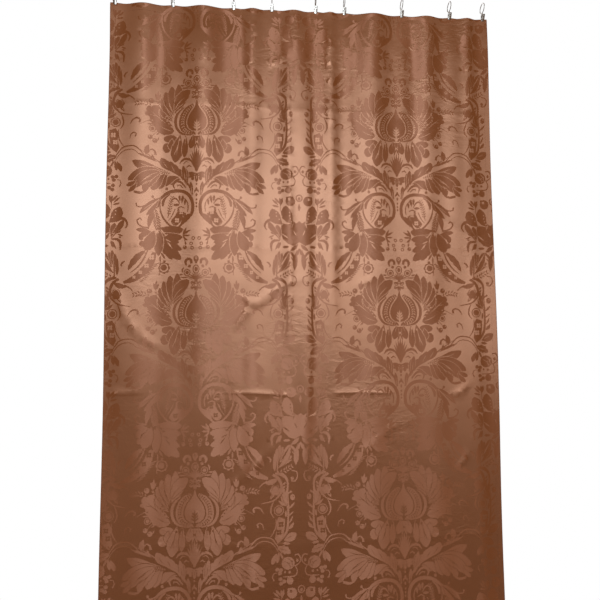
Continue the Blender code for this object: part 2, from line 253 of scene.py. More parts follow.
class Design:
    """Outlines in the order that they are laid, each of figure or of ground."""

    def __init__(self):
        self.laid = []

    def figure(self, *outlines, gap=0.0):
        """Lays outlines of figure, each in a margin of ground as wide as gap."""
        for outline in outlines:
            if gap:
                self.laid.append((wider(outline, gap), False))
            self.laid.append((outline, True))

    def ground(self, *outlines):
        """Lays outlines of ground."""
        self.laid += [(outline, False) for outline in outlines]

    def veined(self, outline_of, base, tip, width, bend=0.0, gap=0.0, vein=0.7, **more):
        """A leaf or a petal with a line of ground along its middle."""
        self.figure(outline_of(base, tip, width, bend, **more), gap=gap)
        base, tip = np.array(base, float), np.array(tip, float)
        self.ground(leaf(base, base + (tip - base) * vein, 0.9, bend * vein))

    def berry(self, a, b, across, down=None):
        """An ellipse with a spot of ground where the light would catch it."""
        down = down or across
        self.figure(disc(a, b, across, down, 14))
        self.ground(disc(a + across * 0.3, b - down * 0.3, across * 0.26, down * 0.26, 6))

    def ringed(self, a, b, radius, ring):
        """A ring round a smaller disc."""
        self.figure(disc(a, b, radius, count=14))
        self.ground(disc(a, b, radius - ring, count=12))
        self.figure(disc(a, b, radius - 1.9 * ring, count=10))

    def flower(self, a, b, radius):
        """A blossom of ground with a middle of figure."""
        self.ground(blossom(a, b, radius, 4, 0.42, 0.785))
        self.figure(disc(a, b, radius * 0.24, count=6))

    def feathers(self, points, length, width, count, lean=0.9, laid=True):
        """Pairs of small leaves along a line, leaning forwards."""
        line = path(points)
        for i in range(count):
            at = (i + 0.5) / count * (len(line) - 1)
            k = min(int(at), len(line) - 2)
            spot = line[k] + (line[k + 1] - line[k]) * (at - k)
            run = line[k + 1] - line[k]
            heading = math.atan2(run[1], run[0])
            reach = length * (0.65 + 0.35 * math.sin(math.pi * (i + 0.5) / count))
            for way in (-1, 1):
                q = heading + way * lean
                tip = spot + reach * np.array([math.cos(q), math.sin(q)])
                self.laid.append((leaf(spot, tip, width), laid))


def bloom(d):
    """The large flower round the motif's middle."""
    d.figure(petal((84, 40), (134, 44), 9, -3), gap=1.4)
    d.veined(leaf, (78, 46), (145, 17), 19, 5, gap=1.5, round_tip=0.6, lobes=4, depth=0.14)
    d.figure(
        leaf((82, 30), (166, -36), 18, 5, 0.62, 0.6), disc(139, -35, 13, 9), disc(160, -27, 10, 8),
        disc(164, -12, 10, 7), disc(150, 2, 8, 6), disc(143, 13, 7, 5),
    )
    d.ground(
        leaf((104, 20), (154, -22), 1.1), leaf((124, 2), (132, -28), 0.9), leaf((132, -6), (156, -10), 0.9),
    )
    d.veined(petal, (82, 12), (124, -36), 12, 3, gap=1.6)
    d.veined(petal, (82, 2), (121, -68), 12, 4, gap=1.6)
    d.veined(petal, (80, -8), (108, -90), 12.5, 3, gap=1.6)
    d.figure(petal((78, -14), (87, -108), 14), gap=1.6)
    d.veined(petal, (77, -18), (63, -116), 13, -6, gap=1.6)
    d.figure(petal((74, -10), (44, -46), 7, 3), petal((76, -14), (34, -64), 9, 5), gap=1.4)
    d.veined(petal, (78, -22), (22, -92), 17, 9, gap=1.6)
    d.ground(*[disc(88 + 7 * k, 30 - 10 * k, 2.6, count=6) for k in range(4)])
    d.ground(*[leaf((82 + 6 * k, 22 - 9 * k), (92 + 6 * k, 20 - 9 * k), 1.3) for k in range(4)])
    band = [(12, -42), (33, -24), (45, -4), (49, 18), (45, 36), (31, 50), (6, 57)]
    d.figure(scroll(band, [8, 20, 24, 25, 24, 20, 8]))
    d.feathers(band, 9.5, 2.0, 17, laid=False)
    d.feathers([(14, -46), (38, -30), (52, -6), (55, 18)], 5, 1.2, 8)
    outer = [(44, -34), (60, -22), (71, -3), (73, 18), (67, 38), (51, 54), (20, 61)]
    d.ground(scroll(outer, [3, 10, 14, 14, 13, 11, 4]))
    d.figure(scroll(outer, [2, 6.5, 9.5, 9.5, 8.5, 6.5, 3]))
    drop = [(3, -50), (5, -40), (10, -30), (22, -15), (29, -2), (32.5, 10), (33, 20), (28, 36), (17, 45)]
    whole = [(0, -60)] + drop + [(0, 49)] + [(-a, b) for a, b in reversed(drop)]
    d.ground(wider(whole, 2.4))
    d.figure(whole)
    d.ground(leaf((0, 54), (0, 6), 3.0, broad=0.4))
    for b, reach, rise in ((42, 13, 11), (34, 12, 12), (26, 9, 12)):
        d.ground(leaf((1, b), (reach, b - rise), 2.4))
    for reach, rise in ((16, 14), (22, 9), (25, 3)):
        d.figure(leaf((2, 60), (reach, 60 - rise), 2.2))


def crown(d):
    """Buds and tendrils above the flower."""
    d.figure(blossom(0, -76, 21, 6, 0.45, 0.52))
    d.ground(disc(0, -76, 4.5, count=8), disc(7, -73, 2.4, count=6), disc(0, -85, 2.6, count=6))
    for reach, b in ((16, -84), (17, -68)):
        d.ground(leaf((5, -76), (reach, b), 1.3))
    for a1, b1, w in ((6, -118, 2.6), (14, -116, 2.6), (22, -112, 2.4), (32, -106, 2.2)):
        d.figure(leaf((2, -92), (a1, b1), w, -2))
    d.figure(disc(0, -128, 12, 15, 16))
    d.ground(disc(0, -128, 8.5, 11), leaf((0, -112), (0, -122), 1))
    d.figure(disc(0, -128, 6, 8, 10))
    d.figure(disc(0, -162, 9, 11), disc(0, -150, 5, 4, 8))
    d.ground(disc(0, -165, 4.5, 5, 8))
    d.figure(disc(0, -165, 2.2, 2.6, 6))
    d.figure(scroll([(16, -146), (17, -158), (28, -162), (36, -152), (32, -140)], [8, 9, 9, 9, 5]))
    d.figure(disc(22, -138, 5.5, count=8))
    d.ringed(30, -117, 12, 3)
    d.figure(scroll([(41, -134), (46, -127), (46, -117)], [3, 6, 3]), leaf((42, -112), (65, -113), 3.4, 3))
    d.figure(leaf((28, -103), (54, -103), 2.6, 2), scroll([(10, -92), (28, -100), (46, -98)], [1, 2, 1]))


def fan(d):
    """Petals that hang below the flower."""
    d.figure(disc(90, 71, 23, 13), gap=1.6)
    d.figure(disc(102, 102, 14, 17), petal((84, 70), (90, 108), 10), gap=1.6)
    d.veined(petal, (56, 56), (73, 152), 18.5, -2, gap=1.8, vein=0.75)
    d.ground(leaf((62, 84), (80, 130), 1.2, 2))
    d.veined(petal, (38, 58), (42, 136), 10, gap=1.6, vein=0.5)
    d.veined(petal, (12, 58), (22, 106), 11, 2, gap=1.6, vein=0.5)
    for a, b in ((30, 68), (40, 70), (50, 68), (58, 74), (66, 64)):
        d.ground(disc(a, b, 3.2, 4.4, 8))
    for a1, b1, w in ((0, 100, 3.4), (9, 104, 3.0), (17, 112, 2.8), (24, 122, 2.6), (29, 134, 2.4)):
        d.figure(leaf((a1 * 0.05, 187), (a1, b1), w, -a1 * 0.12, 0.6))
    d.figure(disc(0, 74, 5, 9), leaf((0, 86), (9, 110), 3.2), leaf((0, 64), (14, 72), 3))
    d.figure(scroll([(10, 158), (20, 147), (36, 140), (50, 145), (58, 156)], [1.5, 6, 9, 7, 2]))
    d.figure(scroll([(26, 153), (36, 149), (46, 158)], [1, 4, 2]))
    d.figure(scroll([(17, 168), (26, 163), (34, 169)], [2, 5, 3]))
    d.figure(petal((0, 190), (31, 188), 6, 2), petal((2, 196), (30, 202), 5), disc(13, 207, 6, 7))
    d.figure(disc(0, 205, 6, 15))
    d.ground(leaf((0, 196), (0, 212), 0.9))


def stems(d):
    """Leaves and curls that leave the stem below the flower."""
    d.figure(petal((32, 232), (36, 172), 6.5), petal((46, 214), (58, 172), 6), gap=1.3)
    d.veined(petal, (36, 230), (46, 162), 7.5, gap=1.3)
    d.figure(scroll([(14, 262), (22, 236), (52, 200), (96, 174), (134, 144), (196, 106)], [7, 6, 5, 4, 3, 1]))
    d.figure(
        petal((56, 200), (76, 157), 8, 1), petal((68, 192), (90, 147), 8, 1),
        petal((84, 184), (103, 143), 8, 1), petal((94, 178), (120, 135), 12, 2),
    )
    d.ground(leaf((74, 184), (88, 158), 0.8), leaf((98, 172), (114, 148), 0.8))
    d.figure(leaf((118, 172), (212, 148), 15, 8, 0.6, 0.7, 5, 0.16), leaf((132, 150), (200, 122), 4, -2))
    d.ground(leaf((132, 164), (190, 154), 0.9, 6))
    d.figure(scroll([(138, 126), (141, 113), (149, 107), (158, 112), (160, 124)], [8, 7, 5, 4, 1.5]))
    d.figure(leaf((140, 148), (150, 124), 4), leaf((146, 146), (157, 126), 2))
    wheat = [(92, 188), (118, 182), (150, 178), (172, 188)]
    d.figure(scroll(wheat, [4, 16, 24, 6]))
    d.feathers(wheat, 11, 2.0, 11, 0.75, laid=False)
    d.figure(petal((52, 208), (88, 228), 7, -8), petal((58, 202), (104, 232), 11, -12), gap=1.5)
    d.figure(petal((98, 190), (126, 242), 12, -3), petal((106, 190), (148, 246), 15, -6), gap=1.3)
    d.veined(leaf, (122, 186), (176, 250), 15, -8, gap=1.4, round_tip=0.6, lobes=4, depth=0.16)
    d.veined(leaf, (124, 178), (226, 214), 17, -8, gap=1.4, round_tip=0.6, lobes=5, depth=0.16)
    d.veined(leaf, (124, 182), (214, 244), 17, -10, gap=1.4, round_tip=0.6, lobes=5, depth=0.16)
    d.ground(leaf((150, 198), (176, 214), 1.0, -2), leaf((158, 214), (180, 230), 1.0, -2))
    d.figure(petal((198, 214), (232, 232), 7, 3), petal((196, 222), (224, 252), 7, 3), gap=1.2)
    d.figure(
        scroll([(206, 252), (184, 256), (168, 248), (161, 236), (166, 226), (176, 228)], [8, 9, 7, 5, 5, 3])
    )
    d.figure(disc(190, 232, 4.5, count=8))
    d.figure(scroll([(36, 238), (52, 219), (68, 215), (79, 225), (74, 240)], [4, 7, 8, 8, 3]))
    d.figure(scroll([(46, 238), (56, 228), (66, 228), (64, 234)], [3, 4, 5, 2]), disc(101, 240, 5, 6))
    d.veined(petal, (15, 268), (20, 217), 5.5)
    for b, down in ((226, 4), (243, 7), (262, 6), (278, 4), (290, 4), (301, 4)):
        d.figure(disc(0, b, 3.4, down, 8))
    d.figure(leaf((0, 240), (9, 256), 2.6))


def volute(d):
    """The large scroll and what grows inside and below it."""
    line = [
        (30, 344), (15, 322), (13, 296), (19, 272), (36, 254), (60, 247), (90, 251), (114, 266), (134, 294),
    ]
    d.figure(scroll(line, [5, 10, 12, 11, 11, 12, 11, 8, 3]))
    d.ground(scroll([(22, 324), (18, 298), (24, 276), (40, 260)], [0.6, 1.6, 1.6, 0.6]))
    d.figure(
        scroll([(104, 257), (122, 270), (136, 276), (145, 271)], [5, 4, 3, 3]), disc(146, 267, 4.5, 5, 8),
    )
    d.figure(scroll([(30, 318), (28, 300), (33, 282), (46, 267)], [3, 3.6, 3.4, 1]))
    d.figure(scroll([(90, 259), (104, 270), (112, 284), (113, 299)], [3, 7, 10, 6]))
    d.ground(leaf((98, 266), (110, 290), 0.8, 2))
    d.figure(leaf((54, 366), (12, 324), 9, 5, 0.55, 0.8, 3, 0.2))
    d.figure(scroll([
        (38, 322), (42, 346), (56, 366), (70, 372), (90, 362), (112, 336), (122, 308), (120, 288),
    ],
                    [6, 6, 6, 6, 6, 6, 5, 2]))
    d.figure(scroll([(42, 318), (48, 340), (68, 362), (84, 350), (70, 330), (58, 306)], [3, 3, 3, 3, 3, 3]))
    d.figure([(43, 318), (58, 312), (70, 330), (84, 350), (68, 364), (52, 348)])
    d.flower(65, 346, 9)
    d.flower(51, 319, 8)
    d.figure(petal((50, 290), (46, 262), 4.5), petal((56, 284), (58, 261), 4), petal((40, 296), (38, 276), 4))
    d.figure(scroll([(56, 292), (64, 278), (74, 272), (84, 280), (86, 292)], [2, 5, 6, 4, 1]))
    d.figure(disc(68, 294, 10, 4.5), scroll([(40, 306), (52, 300), (62, 304), (64, 314)], [2, 4, 5, 2]))
    d.figure(scroll([(96, 338), (90, 305), (82, 268)], [2.4, 2, 1]))
    d.feathers([(94, 330), (89, 302), (82, 266)], 13, 1.7, 8, 0.8)
    d.figure(scroll([(72, 308), (84, 334), (94, 346)], [3, 3, 2]))
    d.figure(petal((120, 272), (129, 304), 4.5), petal((126, 276), (166, 330), 6.5, 3), gap=1.0)
    d.figure(petal((128, 274), (186, 324), 6.5, -4), gap=1.0)
    d.figure(scroll([(130, 274), (156, 288), (178, 302), (196, 300), (198, 290)], [6, 9, 5, 4, 5]))
    d.ground(leaf((134, 284), (176, 314), 0.8, -3))
    d.figure(
        scroll([(156, 372), (176, 369), (190, 360), (194, 346), (185, 340), (179, 347)], [7, 5, 5, 5, 5, 4])
    )
    d.figure(scroll([(140, 300), (134, 330), (128, 370)], [2, 3, 2]))
    d.feathers([(142, 304), (135, 334), (128, 372)], 22, 2.6, 8, 0.62)
    d.figure(petal((158, 376), (144, 316), 8, 3), petal((136, 306), (130, 300), 3))
    d.figure(petal((146, 386), (197, 378), 7, -2))


def spray(d):
    """The broad leaves that hang below the scroll."""
    d.figure(leaf((134, 372), (44, 376), 15, -6, 0.6, 0.6, 4, 0.12), gap=1.0)
    d.figure(leaf((122, 384), (46, 402), 12, -7, 0.64, 0.6, 3, 0.14), gap=1.3)
    for tip, width, bend in (
        ((57, 420), 9, -3), ((48, 444), 10, -6), ((50, 476), 13.5, -7), ((80, 476), 10.5, -3),
        ((102, 460), 9, 0),
    ):
        d.figure(petal((116, 396), tip, width, bend, 0.72))
    for base, tip in (
        ((98, 416), (79, 440)), ((104, 408), (84, 418)), ((108, 398), (94, 392)), ((109, 402), (110, 422)),
    ):
        d.ground(leaf(base, tip, 1.9))
    d.figure(petal((124, 378), (126, 464), 14.5, 0, 0.5), gap=1.7)
    d.ground(leaf((140, 396), (146, 436), 1.0))
    d.figure(leaf((140, 380), (168, 446), 18, 2, 0.6, 0.6, 3, 0.18), gap=1.7)
    d.figure(disc(181, 402, 8, 12), disc(178, 424, 9, 10), petal((150, 384), (186, 398), 8))
    for base, tip in (
        ((124, 372), (108, 386)), ((128, 376), (128, 392)), ((140, 372), (150, 386)),
        ((116, 382), (100, 396)),
    ):
        d.ground(leaf(base, tip, 2.0))
    for tip, bend in (((17, 378), 2), ((32, 370), 1), ((20, 396), -1), ((28, 414), -2)):
        d.figure(leaf((46, 396), tip, 3.6, bend))
    d.figure(scroll([(44, 396), (38, 412), (38, 424)], [2, 3, 2]), leaf((38, 414), (34, 430), 3))
    d.berry(38, 436, 7)
    for a, b in ((10, 406), (17, 424), (14, 438)):
        d.figure(disc(a, b, 6.5, count=12))
        d.ground(disc(a, b, 3.4, count=8))
    d.figure(leaf((117, 452), (104, 474), 4), leaf((118, 462), (118, 486), 3, -3), disc(106, 481, 5, 4, 8))
    d.figure(blossom(107, 503, 20, 8, 0.16))
    d.ground(disc(107, 503, 14.5, count=16))
    d.figure(disc(108, 502, 10.5, count=14))
    sash = [(138, 452), (146, 474), (160, 498), (178, 520), (204, 540), (236, 552)]
    d.figure(scroll(sash, [12, 26, 28, 24, 18, 8]))
    d.ground(scroll([(150, 452), (162, 478), (182, 504), (208, 526)], [1, 2.2, 2.2, 1]))
    for a, b, r in ((147, 468, 10), (163, 496, 9), (182, 518, 7), (202, 534, 6)):
        d.flower(a, b, r)
    d.figure(scroll([(160, 446), (172, 474), (190, 500), (214, 520)], [3, 6, 5, 2]))
    for k in range(7):
        a, b = 120 + 7 * k, 486 + 9 * k
        d.figure(leaf((a, b), (a + 24, b + 12), 2.1, -2))
    d.figure(scroll([(118, 470), (121, 500), (122, 528)], [2, 2.6, 2]))
    d.berry(170, 453, 4.5)
    d.berry(186, 473, 5)
    d.figure(leaf((166, 446), (222, 512), 10, -6, 0.5, 0.7, 4, 0.2), gap=1.2)
    d.figure(scroll([(232, 482), (240, 486), (245, 494), (242, 500)], [3, 6, 6, 3]))
    d.figure(scroll([(208, 576), (222, 566), (244, 560), (262, 554)], [3, 4, 5, 3]))
    d.feathers([(150, 600), (176, 588), (204, 592)], 16, 2.2, 6, 0.7)


def sprigs(d):
    """Buds and berries round the flower."""
    d.figure(
        leaf((133, -60), (123, -82), 4), leaf((134, -60), (131, -93), 4), leaf((135, -60), (140, -84), 4),
    )
    d.figure(scroll([(134, -60), (128, -48), (116, -34)], [2, 2, 1.4]), leaf((130, -48), (138, -56), 2.6))
    d.figure(leaf((128, -46), (136, -40), 2.6), leaf((126, -52), (123, -60), 2.2))
    d.berry(153, -57, 9)
    d.figure(leaf((143, 21), (160, 7), 3.6), leaf((143, 22), (166, 22), 3.0), leaf((130, 30), (146, 20), 2.0))
    d.ringed(149, 37, 11.5, 2.6)
    d.berry(156, 66, 8)
    d.berry(141, 77, 8.5)
    d.figure(leaf((126, 46), (138, 58), 2.6, 2), leaf((128, 64), (132, 78), 2.4))
    d.figure(scroll([(124, 42), (136, 48), (146, 58), (150, 66)], [1.5, 2, 2, 1.2]))
    d.figure(leaf((167, 128), (160, 92), 8, 3), scroll([(146, 4), (168, 14), (190, 26)], [1.5, 2, 1]))
    d.figure(scroll([(190, 20), (188, 10), (198, 4), (212, 10), (222, 26)], [7, 6, 5, 4, 1.5]))
    d.figure(scroll([(204, 68), (200, 58), (208, 53), (217, 58), (222, 76)], [5, 4, 4, 3, 1.2]))


def vine(d):
    """The slender column between two flowers. Here c and at take places from the column's own axis."""

    def c(*points):
        return [(HALF_REPEAT - a, b) for a, b in points]

    def at(outline_of, base, tip, width, bend=0.0, **more):
        return outline_of(c(base)[0], c(tip)[0], width, -bend, **more)

    d.berry(HALF_REPEAT - 27, -23, 8, 10)
    d.figure(
        scroll(
            c((42, -62), (44, -20), (42, 10), (42, 50), (47, 84), (62, 106), (78, 120)),
            [3, 6, 8, 6, 8, 8, 4],
        )
    )
    for tip, w in (((58, -58), 4.5), ((48, -44), 4), ((66, -28), 5), ((74, -14), 5), ((56, -36), 5)):
        d.figure(at(leaf, (44, 4), tip, w, 3), gap=0.9)
    d.figure(
        at(leaf, (42, 14), (20, -8), 3.4, -2), at(leaf, (42, 36), (24, 20), 2.6, -2),
        at(leaf, (41, 60), (27, 34), 2.8, -3),
    )
    d.figure(at(leaf, (42, 78), (24, 56), 5, -3), at(leaf, (50, 40), (49, 18), 4))
    d.ringed(HALF_REPEAT - 72, 18, 17, 3.4)
    d.figure(scroll(c((88, -14), (96, 4), (98, 24), (88, 40)), [2, 5, 5, 2]))
    d.figure(c((52, 46), (72, 38), (80, 50), (80, 80), (86, 104), (78, 118), (58, 98), (53, 70)))
    d.flower(HALF_REPEAT - 65, 62, 10)
    d.flower(HALF_REPEAT - 72, 86, 10)
    d.figure(scroll(c((82, 42), (82, 66), (90, 86), (100, 100)), [2, 4, 4, 2]))
    d.figure(at(leaf, (56, 112), (16, 90), 13, -3, broad=0.55, round_tip=0.7, lobes=3, depth=0.25))
    d.figure(
        at(leaf, (60, 120), (36, 124), 5),
        at(leaf, (78, 134), (34, 154), 13, 3, round_tip=0.8, lobes=4, depth=0.3),
    )
    d.ground(at(leaf, (72, 136), (44, 146), 0.9), at(leaf, (50, 108), (28, 98), 0.9))
    d.figure(scroll(c((70, 140), (82, 122), (100, 103), (140, 101), (176, 136)), [3, 4, 4, 4, 2]))
    d.figure(scroll(c((74, 148), (86, 128), (104, 114), (134, 112), (162, 134)), [2, 3, 3, 2, 1]))
    d.figure(
        at(petal, (72, 146), (79, 182), 5.5), at(petal, (78, 150), (94, 186), 7, -2),
        at(leaf, (70, 148), (58, 172), 4),
    )
    d.figure(disc(HALF_REPEAT - 43, 184, 21.5, 20.5, 20))
    d.ground(
        scroll(c((28, 196), (30, 180), (42, 170)), [1, 2.4, 1]),
        scroll(c((36, 200), (40, 186), (54, 178)), [1, 2, 1]),
    )
    d.ground(*[disc(a, b, 1.8, count=6) for a, b in c((30, 186), (34, 194), (37, 184), (28, 178))])
    d.figure(disc(HALF_REPEAT - 38, 212, 4.5, 5, 8), disc(HALF_REPEAT - 53, 211, 3.5, 4, 8))
    for a, b in ((66, 204), (78, 202), (70, 214), (56, 240), (68, 232), (66, 246)):
        d.figure(disc(HALF_REPEAT - a, b, 7, 6.5, 10))
    d.figure(leaf(c((42, 228))[0], c((32, 250))[0], 11, 0, 0.5, 0.6, 3, 0.25))
    d.figure(scroll(c((18, 192), (6, 184), (2, 170), (10, 157), (22, 160)), [4, 3, 4, 5, 3]))
    d.figure(disc(HALF_REPEAT - 13, 176, 4.5, 6, 8))
    d.figure(scroll(c((22, 190), (13, 206), (18, 222), (36, 226), (60, 226)), [3, 3.4, 4, 4, 2]))
    d.figure(scroll(c((80, 212), (90, 214), (94, 224), (88, 236)), [2.4, 3, 3.4, 5]))
    d.figure(disc(HALF_REPEAT, 266, 12.5, 13, 14))
    d.ground(disc(HALF_REPEAT, 266, 8.5, 9))
    d.figure(disc(HALF_REPEAT, 268, 5, 6, 10), leaf((HALF_REPEAT, 284), (HALF_REPEAT, 312), 4))
    d.figure(disc(HALF_REPEAT - 30, 277, 16.5, 17, 18), disc(HALF_REPEAT - 40, 266, 6, 5, 8))
    d.flower(HALF_REPEAT - 34, 271, 5.5)
    d.figure(
        at(leaf, (64, 292), (57, 264), 5), at(leaf, (64, 290), (66, 264), 4),
        at(leaf, (66, 284), (84, 264), 4.4),
    )
    d.figure(
        at(leaf, (70, 290), (92, 270), 3.4), at(leaf, (68, 296), (92, 290), 4),
        scroll(c((64, 284), (64, 310)), [3, 1.5]),
    )
    tulip = c(
        (0, 344), (10, 352), (22, 344), (26, 356), (60, 352), (63, 380), (56, 404), (38, 422), (20, 428),
        (0, 416),
    )
    d.figure(tulip)
    d.figure(at(petal, (20, 356), (46, 292), 17, 9, broad=0.6), gap=1.7)
    d.figure(at(petal, (56, 356), (92, 302), 17, 7, broad=0.6), gap=1.7)
    for a, b in (
        (33, 316), (33, 327), (30, 337), (26, 347), (22, 332), (78, 316), (77, 327), (68, 338), (59, 328),
        (66, 318),
    ):
        d.ground(disc(HALF_REPEAT - a, b, 2.5, count=8))
    d.ground(
        at(leaf, (11, 394), (20, 376), 2.0), at(leaf, (36, 404), (60, 386), 2.4),
        at(leaf, (26, 368), (20, 350), 1.6),
    )
    d.figure(at(petal, (64, 404), (76, 356), 9), at(petal, (66, 392), (104, 346), 9, 5), gap=1.2)
    d.figure(scroll(c((78, 352), (96, 340), (112, 348), (117, 362), (110, 374)), [6, 12, 9, 6, 4]))
    d.figure(
        scroll(c((64, 408), (76, 394), (86, 384)), [3, 4, 6]), at(leaf, (84, 392), (104, 400), 3),
        at(leaf, (84, 390), (98, 380), 3),
    )
    d.berry(HALF_REPEAT - 93, 403, 4.5)
    d.figure(
        scroll(c((66, 410), (84, 410), (95, 422), (94, 446)), [5, 10, 9, 4]),
        at(leaf, (64, 414), (72, 438), 5),
    )
    d.figure(at(leaf, (70, 414), (82, 442), 3.6, 2))
    d.figure(at(leaf, (4, 422), (32, 446), 6, 2), at(leaf, (34, 432), (58, 432), 5))
    d.figure(at(leaf, (8, 440), (16, 512), 8, -2, broad=0.6), at(petal, (0, 436), (10, 462), 5))
    d.figure(scroll(c((28, 468), (16, 480), (20, 462), (38, 450), (58, 476), (68, 496)), [3, 8, 8, 9, 6, 4]))
    d.figure(
        leaf(c((72, 500))[0], c((28, 482))[0], 8, 2, 0.6, 0.7, 2, 0.2),
        at(leaf, (76, 520), (28, 494), 5.5, 3), gap=1.3,
    )
    d.figure(at(leaf, (76, 522), (34, 448), 7, -9), gap=1.3)
    d.figure(
        at(petal, (76, 500), (58, 452), 6.5), at(petal, (74, 500), (68, 445), 6),
        at(petal, (78, 502), (78, 456), 5.5), gap=1.0,
    )
    d.figure(
        scroll(c((76, 496), (77, 534)), [5, 4]), at(leaf, (84, 528), (86, 470), 5),
        at(leaf, (86, 530), (90, 494), 3),
    )
    d.feathers(c((80, 540), (56, 530), (28, 514)), 14, 2.6, 6, 0.8)
    d.figure(scroll(c((30, 528), (14, 532), (11, 548), (20, 562), (32, 560)), [3, 3.4, 4, 4, 3]))
    d.berry(HALF_REPEAT - 28, 553, 6)
    d.figure(scroll(c((84, 536), (60, 542), (46, 556), (43, 576), (47, 596), (62, 610)), [6, 11, 8, 6, 7, 5]))
    for k in range(4):
        d.figure(at(leaf, (60 + k, 576 + 11 * k), (49 + k, 564 + 11 * k), 3.2))
    d.figure(scroll(c((92, 540), (74, 552), (64, 574), (66, 600), (80, 614)), [8, 10, 9, 7, 4]))
    d.figure(at(leaf, (74, 552), (118, 566), 8, 4), blossom(HALF_REPEAT - 84, 590, 18, 6, 0.18))
    d.ground(scroll(c((72, 588), (78, 576), (90, 577), (96, 590)), [1, 2.6, 2.6, 1]))
    d.figure(
        scroll(c((110, 560), (128, 570), (136, 580)), [5, 4, 2]),
        scroll(c((30, 594), (40, 600), (56, 612)), [7, 4, 2]),
    )
    d.figure(
        scroll(c((62, 606), (50, 616), (44, 632)), [4, 5, 4]),
        scroll(c((66, 604), (90, 622), (130, 630)), [4, 5, 2]),
    )
    d.figure(scroll(c((88, 606), (100, 616), (96, 604)), [4, 4, 2]))


def design():
    """All outlines of half a motif, in the order that they are laid."""
    d = Design()
    for part in (crown, bloom, sprigs, fan, stems, spray, volute, vine):
        part(d)
    return d.laid


# --- cloth --------------------------------------------------------------------------------------

# Where the cloth was folded in its packet: depth, height, and the stretches across that still show
PACKING_CREASES = (
    (0.353, 0.5 * MM, ((-0.66, 0.66),)), (0.832, 0.5 * MM, ((-0.66, 0.66),)),
    (1.309, 1.2 * MM, ((-0.66, -0.52), (-0.27, -0.02), (0.06, 0.30))), (1.786, 0.5 * MM, ((-0.66, 0.66),)),
)
# Vertical folds: where each starts to rise, its crest, where it has fallen, its height, and the depths
# where it starts and ends
FOLDS = (
    (-0.49, -0.335, -0.10, 11.3 * MM, -0.3, 1.20), (-0.105, -0.062, -0.046, 4.5 * MM, -0.3, 1.3),
    (-0.050, -0.002, 0.022, 6.0 * MM, -0.3, 1.7), (0.020, 0.078, 0.115, 6.0 * MM, -0.3, 1.2),
    (0.120, 0.150, 0.21, 3.0 * MM, -0.3, 0.9), (0.15, 0.197, 0.30, 4.0 * MM, -0.3, 0.7),
    (0.285, 0.336, 0.375, 4.0 * MM, -0.3, 0.6), (0.455, 0.535, 0.60, 7.0 * MM, -0.3, 1.0),
    (-0.64, -0.585, -0.50, 4.0 * MM, -0.3, 1.5), (0.10, 0.52, 0.66, 9 * MM, 1.0, 2.8),
    (-0.40, -0.18, -0.05, 7 * MM, 1.1, 2.8), (0.05, 0.20, 0.36, 5 * MM, 1.2, 2.8),
)
HELD = 0.024  # how far to each side a clip holds the cloth flat
# Soft wrinkles: two ends and the bend of each, half width and height
WRINKLES = (
    ((-0.22, 0.99), (-0.10, 0.98), 0.03, 9 * MM, 2.4 * MM),
    ((-0.24, 1.10), (0.00, 0.93), -0.03, 10 * MM, 2.6 * MM),
    ((0.17, 0.95), (0.23, 0.92), 0.01, 8 * MM, 1.8 * MM),
    ((0.48, 1.33), (0.56, 1.27), 0.01, 9 * MM, 2.2 * MM),
    ((-0.26, 1.60), (-0.12, 1.47), 0.02, 12 * MM, 2.6 * MM),
    ((0.16, 1.56), (0.36, 1.40), -0.03, 12 * MM, 1.5 * MM),
    ((-0.16, 0.20), (-0.02, 0.11), 0.02, 9 * MM, 1.6 * MM),
    ((0.50, 1.56), (0.54, 1.50), 0.01, 8 * MM, 2.0 * MM),
    ((-0.62, 0.92), (-0.48, 1.16), 0.04, 14 * MM, 2.4 * MM),
    ((0.40, 0.62), (0.60, 0.80), 0.03, 14 * MM, 2.2 * MM),
)


def smooth_step(t):
    """0 below 0, 1 above 1, and an even rise between."""
    t = np.clip(t, 0, 1)
    return t * t * (3 - 2 * t)


